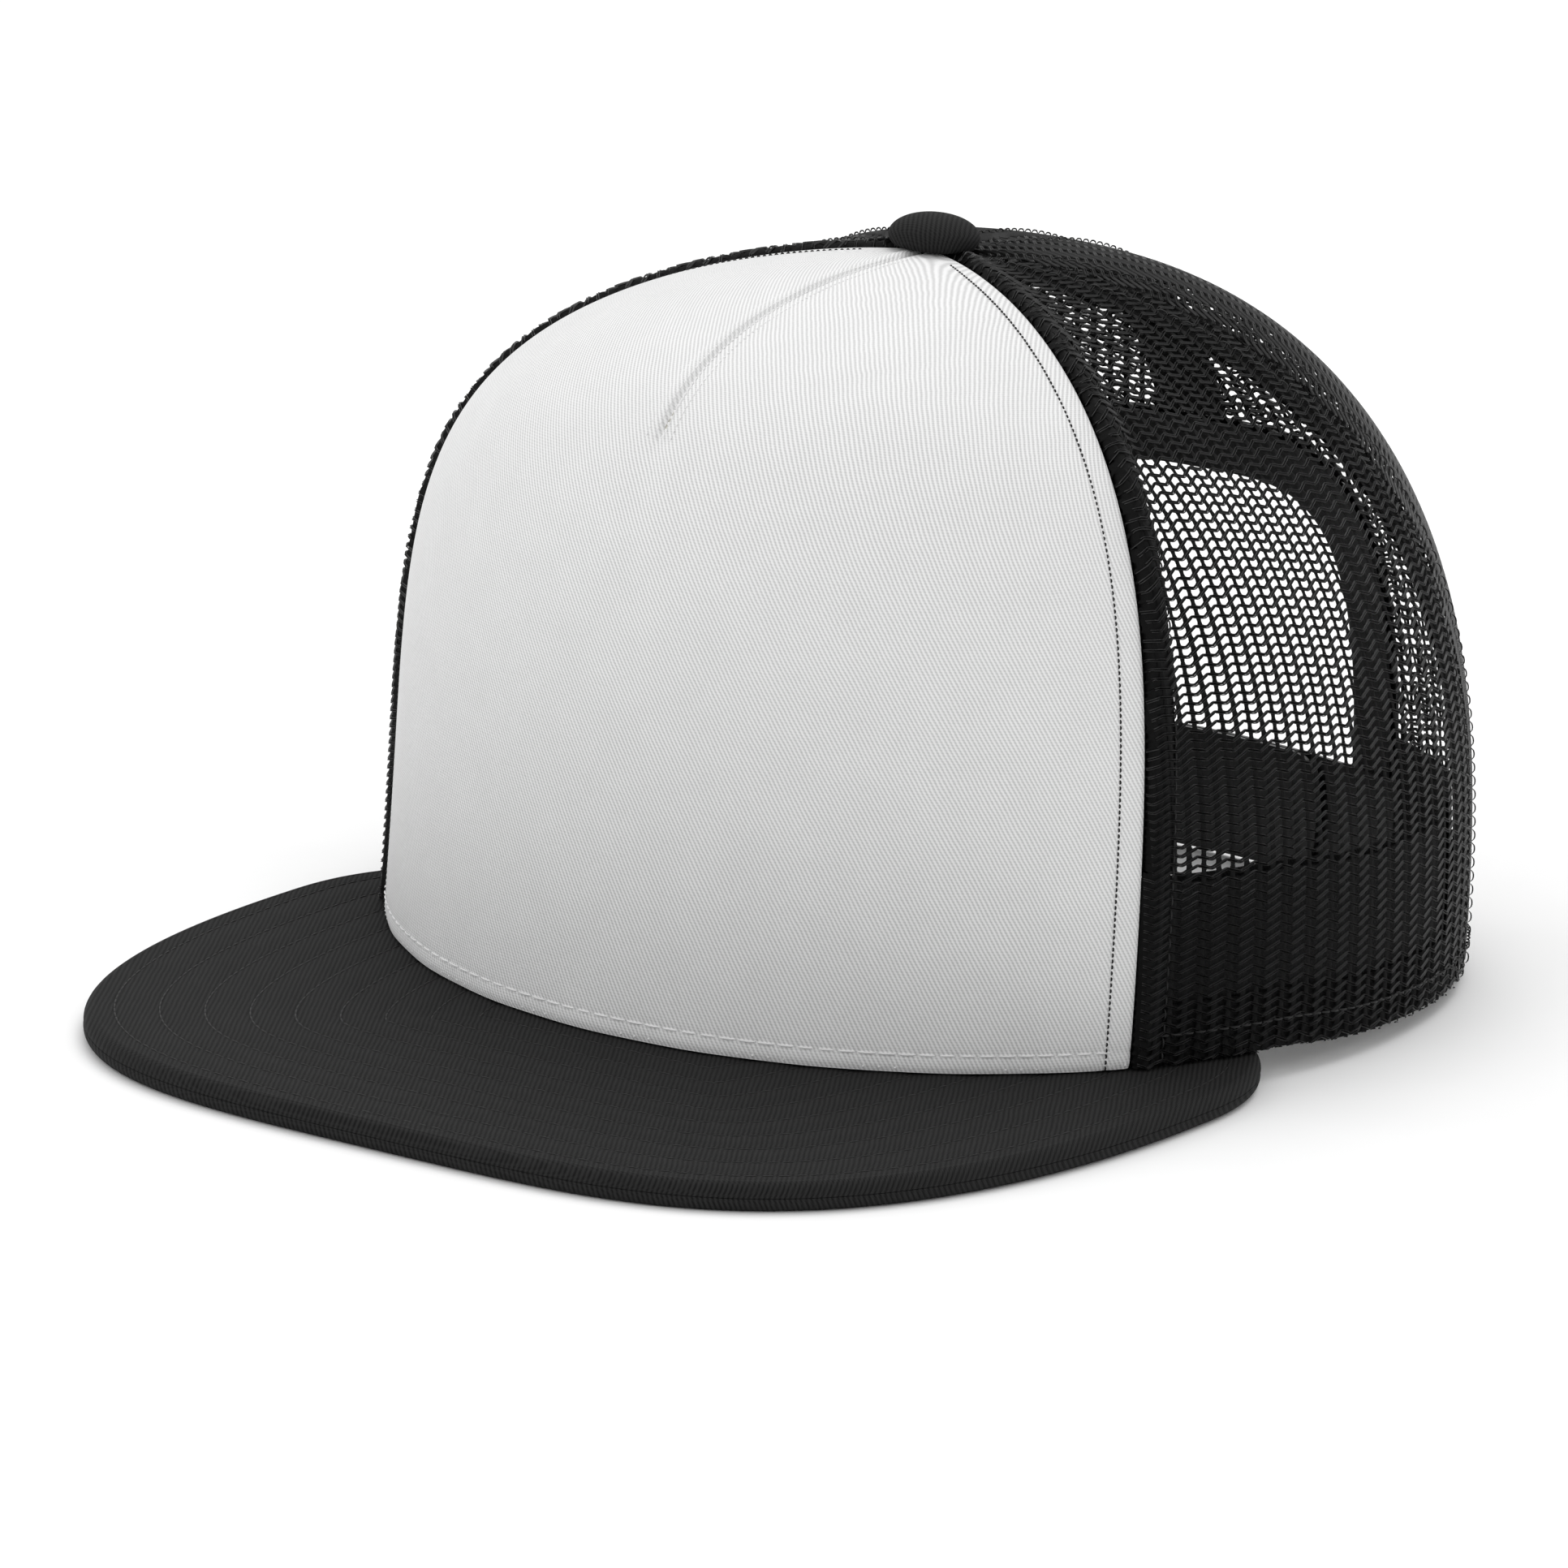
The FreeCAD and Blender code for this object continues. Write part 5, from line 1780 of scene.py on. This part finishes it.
    def build(self, wardrobe: Wardrobe) -> None:
        """Build both covers and dress the board."""
        for top in (True, False):
            cover = self.build_cover(wardrobe, top)
            threads = self.build_stitches(wardrobe, top)
        dress_node("visor_board", wardrobe.board)


def dress_node(node: str, material: bpy.types.Material) -> None:
    """Give a node that stays in view its finish."""
    for item in bpy.data.objects:
        if item.get("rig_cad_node") and (item.name == node or item.get("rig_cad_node") == node):
            item.data.materials.clear()
            item.data.materials.append(material)
            LOG.info("%s: dressed", item.name)


# ---- Button and straps ----


@dataclass
class Button:
    """A steel dome covered in twill, riveted through the panels to a washer inside."""

    radius: float = 7.75
    height: float = 6.2
    widest: float = 2.5
    foot: float = 0.3
    foot_radius: float = 5.4
    washer_top: float = -3.14
    washer_radius: float = 7.0
    shank: float = 1.3
    shank_top: float = 4.6
    gathers: int = 26
    gather_depth: float = 0.012

    def placed(self, patch: Patch) -> Patch:
        """Stand a turned patch on the crown's pole."""
        lift = np.array([0.0, -FORM.pole_forward, FORM.height])
        return patch.moved(lambda points: FORM.placed(points + lift))

    def build(self, wardrobe: Wardrobe) -> None:
        """Build the covered dome and the washer."""
        turn = np.linspace(math.pi / 2, 0, 26)
        rise = self.height - self.widest
        over = [
            (self.radius * math.cos(t) ** 0.92, self.widest + rise * math.sin(t) ** 1.1)
            for t in turn
        ]
        drop = self.widest - self.foot
        under = [
            (
                self.foot_radius + (self.radius - self.foot_radius) * math.cos(t) ** 0.9,
                self.widest - drop * math.sin(t),
            )
            for t in np.linspace(0, math.pi / 2, 12)[1:]
        ]
        foot, inner = self.foot, self.foot_radius
        back = [(inner - 0.7, foot), (inner - 0.9, foot + 0.8), (0.0, 1.2)]
        profile = np.array([(0.0, self.height)] + over[1:] + under + back)
        patch = turned(profile, 120)
        angle = np.arctan2(patch.points[:, 1], patch.points[:, 0])
        low = np.clip((self.widest + 0.4 - patch.points[:, 2]) / 2.4, 0, 1)
        gather = 1 - self.gather_depth * low * np.cos(angle * self.gathers)
        patch.points[:, :2] *= gather[:, None]
        length = np.hypot(patch.points[:, 0], patch.points[:, 1])
        drawn = length + 0.9 * np.clip(self.widest + 1 - patch.points[:, 2], 0, None)
        patch.weave = np.stack([np.cos(angle) * drawn, np.sin(angle) * drawn], -1)
        cover = crown_piece(
            "button_cover_twill", self.placed(patch), wardrobe.visor, Slot.VISOR_TWILL,
            "button_cloth", sharp=70, weld=True,
        )
        top, outer = self.washer_top, self.washer_radius
        washer = np.array(
            [
                (0.0, top), (outer - 0.2, top), (outer - 0.05, top - 0.06), (outer, top - 0.2),
                (outer, top - 0.6), (outer - 0.08, top - 0.74), (outer - 0.3, top - 0.8),
                (outer - 1.2, top - 0.8), (outer - 1.6, top - 0.62), (3.4, top - 0.62),
                (3.0, top - 0.8), (2.2, top - 0.8), (1.6, top - 0.55), (0.0, top - 0.5),
            ]
        )
        shank, tip = self.shank, self.shank_top
        post = np.array([(0.0, tip), (shank - 0.1, tip), (shank, tip - 0.1), (shank, top - 0.1)])
        parts = Patch.joined([self.placed(turned(washer, 96)), self.placed(turned(post, 32))])
        crown_piece(
            "button_washer", parts, wardrobe.steel, Slot.BUTTON_METAL, "button_back",
            sharp=30, weld=True,
        )
        dome = [(r * 0.88, 0.9 + (z - 0.9) * 0.84) for r, z in over[:-1]]
        lining = [(r - 0.4 * r / self.radius, z - 0.5) for r, z in dome[::-1]]
        shell = self.placed(turned(np.array(dome + lining[:-1] + [(0.0, lining[-1][1])]), 64))
        crown_piece(
            "button_shell_steel", shell, wardrobe.steel, Slot.BUTTON_METAL, "button_shell",
            sharp=50, weld=True,
        )


@dataclass
class SnapStrap:
    """One moulded half of the snap strap, with its holes or its pegs and its sewn-in tab."""

    name: str
    sign: int
    outer: float
    pegs: bool
    centre_back: float = 2.3
    thickness: float = 1.2
    bottom: float = 0.6
    height: float = 21.2
    free_angle: float = 16.5
    tab_angle: float = 28.5
    end_round: float = 7.5
    pitch: float = 5.0
    snaps: int = 6
    hole_radius: float = 2.7
    peg_radius: float = 1.8
    peg_reach: float = 97.9
    bend: tuple[float, float] = (20.4, 16.2)
    edge_soft: float = 0.16
    collar_rise: float = 0.22
    collar: Hump = Hump(1.0, 3.05, 0.2)

    def snap_angles(self) -> Array:
        """Where the snaps stand along the strap, in degrees."""
        return (np.arange(self.snaps) - (self.snaps - 1) / 2) * self.pitch

    def half_height(self, angle: Array) -> Array:
        """Half of the strap's height at an angle, less towards the rounded free end."""
        from_end = np.radians(angle + self.free_angle) * self.outer
        inside = np.clip(self.end_round - from_end, 0, self.end_round)
        corner = self.end_round - np.sqrt(np.maximum(self.end_round**2 - inside**2, 0))
        return self.height / 2 - corner

    def face(self) -> tuple[Array, list[Array]]:
        """The strap's flat face: points of (angle, height) and quads."""
        points: list[Array] = []
        faces: list[Array] = []
        start = 0
        share = np.linspace(-1, 1, 13)
        for middle in [] if self.pegs else self.snap_angles():
            half = self.pitch / 2
            side = [(half, t) for t in share[:-1]]
            side += [(half * -t, 1.0) for t in share[:-1:2]]
            side += [(-half, -t) for t in share[:-1]]
            side += [(half * t, -1.0) for t in share[:-1:2]]
            edge = np.array(side)
            angle = middle + edge[:, 0]
            tall = self.half_height(angle)
            rim = np.stack([angle, edge[:, 1] * tall], -1)
            spread = np.stack([np.radians(rim[:, 0] - middle) * self.outer, rim[:, 1] * 0.55], -1)
            turn = np.arctan2(spread[:, 1], spread[:, 0])
            rings = []
            for radius in (self.hole_radius, self.hole_radius + 0.35, self.hole_radius + 0.7):
                around = np.degrees(radius * np.cos(turn) / self.outer)
                rings.append(np.stack([middle + around, radius * np.sin(turn)], -1))
            rings.append(rim)
            count = len(rim)
            number = np.arange(len(rings) * count).reshape(len(rings), count) + start
            a, b = number[:-1], number[1:]
            faces.append(np.stack([a, b, np.roll(b, -1, 1), np.roll(a, -1, 1)], -1).reshape(-1, 4))
            points.append(np.concatenate(rings))
            start += len(rings) * count
        end = self.snaps * self.pitch / 2
        spans = [(-self.free_angle, -end, 9), (end, self.tab_angle, 30)]
        if self.pegs:
            spans = [(-self.free_angle, -end + 3, 15), (-end + 3, self.tab_angle, 80)]
        for low, high, count in spans:
            angle = np.linspace(low, high, count)
            if low == -self.free_angle:
                angle = low + (high - low) * np.linspace(0, 1, count) ** 1.6
            tall = self.half_height(angle)
            grid = np.stack(
                [np.broadcast_to(angle[:, None], (count, 13)), tall[:, None] * share[None, :]], -1
            )
            faces.append(quads_of(count, 13) + start)
            points.append(grid.reshape(-1, 2))
            start += count * 13
        return np.concatenate(points), faces

    def around(self, angle: Array, height: Array, radius: Array | float) -> Array:
        """Points on the strap's curve, in the row's frame."""
        turn = np.radians(angle) * self.sign
        middle = self.bottom + self.height / 2
        points = np.stack(
            [
                radius * np.sin(turn), radius * np.cos(turn) - self.centre_back,
                middle + height + 0 * turn,
            ],
            -1,
        )
        return FORM.placed(points)

    def build(self, wardrobe: Wardrobe) -> None:
        """Build the strap and its tab as one piece."""
        flat, faces = self.face()
        key = np.round(flat * 2000).astype(np.int64)
        _, first, index = np.unique(key, axis=0, return_index=True, return_inverse=True)
        index = index.reshape(-1)
        flat = flat[first]
        quads = index[np.concatenate(faces)]
        edges = np.sort(np.stack([quads, np.roll(quads, -1, 1)], -1).reshape(-1, 2), 1)
        directed = np.stack([quads, np.roll(quads, -1, 1)], -1).reshape(-1, 2)
        _, place, uses = np.unique(edges, axis=0, return_inverse=True, return_counts=True)
        rim = directed[uses[place.reshape(-1)] == 1]
        on_rim = np.zeros(len(flat), bool)
        on_rim[rim.ravel()] = True
        soft = np.where(on_rim, self.edge_soft, 0.0)
        collar = np.zeros(len(flat))
        if not self.pegs:
            for middle in self.snap_angles():
                away = np.hypot(np.radians(flat[:, 0] - middle) * self.outer, flat[:, 1])
                collar = np.maximum(collar, self.collar.at(away))
        raised = self.outer - soft + self.collar_rise * collar
        front = self.around(flat[:, 0], flat[:, 1], raised)
        back = self.around(flat[:, 0], flat[:, 1], self.outer - self.thickness + soft)
        count = len(flat)
        wall = np.stack([rim[:, 0], rim[:, 1], rim[:, 1] + count, rim[:, 0] + count], -1)
        weave = np.stack([np.radians(flat[:, 0]) * self.outer, flat[:, 1]], -1)
        patches = [
            Patch(
                np.concatenate([front, back]), [quads, quads[:, ::-1] + count, wall],
                np.concatenate([weave, weave]),
            )
        ]
        if self.pegs:
            patches += [self.peg(middle) for middle in self.snap_angles()]
        made = piece_from(f"{self.name}_moulding", Patch.joined(patches), wardrobe.strap, sharp=38)
        tuple(self.around(np.array(self.bend[0]), np.array(0.0), self.outer) * MM)
        tuple(self.around(np.array(self.bend[1]), np.array(0.0), self.outer) * MM)
        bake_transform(made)
        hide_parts(self.name, f"{self.name}_tab")

    def peg(self, middle: float) -> Patch:
        """One snap peg at an angle: a post with a rounded head."""
        tall = self.peg_reach - self.outer
        radius = self.peg_radius
        profile = np.array(
            [
                (radius + 0.5, -0.1), (radius + 0.1, 0.15), (radius - 0.1, 0.5),
                (radius - 0.1, tall - 0.9), (radius, tall - 0.75), (radius, tall - 0.4),
                (radius - 0.25, tall - 0.12), (radius - 0.8, tall), (0.0, tall),
            ]
        )
        patch = turned(profile, 28)
        side, high, out = patch.points[:, 0], patch.points[:, 1], patch.points[:, 2]
        angle = middle + np.degrees(side / self.outer)
        return Patch(self.around(angle, high, self.outer + out), patch.faces, patch.weave)


# ---- Studio ----


@dataclass
class Studio:
    """A white floor, soft light all round and a long lens."""

    azimuth: float = 31.805
    elevation: float = 14.331
    roll: float = 3.339
    distance: float = 1789.5
    lens: float = 247.7
    aim: tuple[float, float, float] = (3.08, -18.07, 39.62)
    sensor: float = 36.0
    clip_end: float = 60.0
    floor_reach: float = 40.0
    sky: float = 0.82
    light_aim: tuple[float, float, float] = (0.0, 0.0, 0.06)

    def build_camera(self) -> None:
        """A camera aimed at the cap from its left front."""
        az, el, roll = (math.radians(v) for v in (self.azimuth, self.elevation, self.roll))
        back = Vector((math.sin(az) * math.cos(el), -math.cos(az) * math.cos(el), math.sin(el)))
        right = Vector((math.cos(az), math.sin(az), 0))
        up = back.cross(right)
        across = right * math.cos(roll) + up * math.sin(roll)
        upward = -right * math.sin(roll) + up * math.cos(roll)
        data = bpy.data.cameras.new("camera")
        data.lens = self.lens
        data.sensor_width = self.sensor
        data.clip_end = self.clip_end
        camera = bpy.data.objects.new("camera", data)
        eye = (Vector(self.aim) + back * self.distance) * MM
        matrix = camera.matrix_world.copy()
        for row in range(3):
            matrix[row][0], matrix[row][1] = across[row], upward[row]
            matrix[row][2], matrix[row][3] = back[row], eye[row]
        camera.matrix_world = matrix
        bpy.context.scene.collection.objects.link(camera)
        bpy.context.scene.camera = camera

    def add_light(
        self, name: str, place: tuple[float, float, float], size: float, power: float
    ) -> None:
        """A square area light aimed at the cap.

        Args:
            name: the light's name.
            place: where it stands, in metres.
            size: length of its side, in metres.
            power: its power in watts.
        """
        data = bpy.data.lights.new(name, "AREA")
        data.size = size
        data.energy = power
        light = bpy.data.objects.new(name, data)
        light.location = place
        aim = Vector(self.light_aim) - Vector(place)
        light.rotation_euler = aim.to_track_quat("-Z", "Y").to_euler()
        bpy.context.scene.collection.objects.link(light)

    def build_floor(self) -> None:
        """A plain white floor with a faint paper tooth."""
        material, tree, shader = blank_material(
            "matt_white_paper", {"Roughness": 0.9, "Specular IOR Level": 0.1}
        )
        place = add_node(tree, "TexCoord").outputs["Object"]
        tooth = add_node(tree, "TexNoise", {"Scale": 30.0, "Detail": 2.0}, {"Vector": place})
        tint = add_node(tree, "Mix", blended("#fafafa", "#ffffff"), {MIX_SHARE: tooth})
        join(tree, shader, {"Base Color": tint.outputs[MIX_RESULT]})
        mesh = bpy.data.meshes.new("floor")
        far = self.floor_reach
        mesh.from_pydata(
            [(-far, -far, 0), (far, -far, 0), (far, far, 0), (-far, far, 0)], [], [(0, 1, 2, 3)]
        )
        mesh.materials.append(material)
        floor = bpy.data.objects.new("floor", mesh)
        bpy.context.scene.collection.objects.link(floor)

    def build(self) -> None:
        """Set up the floor, the lights and the camera."""
        self.build_floor()
        self.build_camera()
        self.add_light("overhead", (-0.15, 0.55, 1.5), 1.2, 9.5)
        self.add_light("front_softbox", (-0.5, -1.35, 0.8), 1.0, 3.5)
        world = bpy.data.worlds.new("soft_light")
        world.use_nodes = True
        sky = world.node_tree.nodes["Background"]
        sky.inputs["Color"].default_value = (1, 1, 1, 1)
        sky.inputs["Strength"].default_value = self.sky
        scene = bpy.context.scene
        scene.world = world
        scene.view_settings.view_transform = "Standard"
        scene.view_settings.look = "None"


def main() -> None:
    """Build the cap and the studio in order."""
    wardrobe = Wardrobe()
    strap_gap = 0.3
    outer = 97.0
    lap = SnapStrap.thickness + strap_gap
    parts: list[Any] = [
        Visor(), FrontPanel(), MeshPanels(), ArchBinding(), Tapes(), Sweatband(), Button(),
        SnapStrap("hole_strap", 1, outer, pegs=False),
        SnapStrap("peg_strap", -1, outer - lap, pegs=True),
    ]
    for part in parts:
        part.build(wardrobe)
        LOG.info("%s done", type(part).__name__)
    Studio().build()


if __name__ == "__main__":
    main()
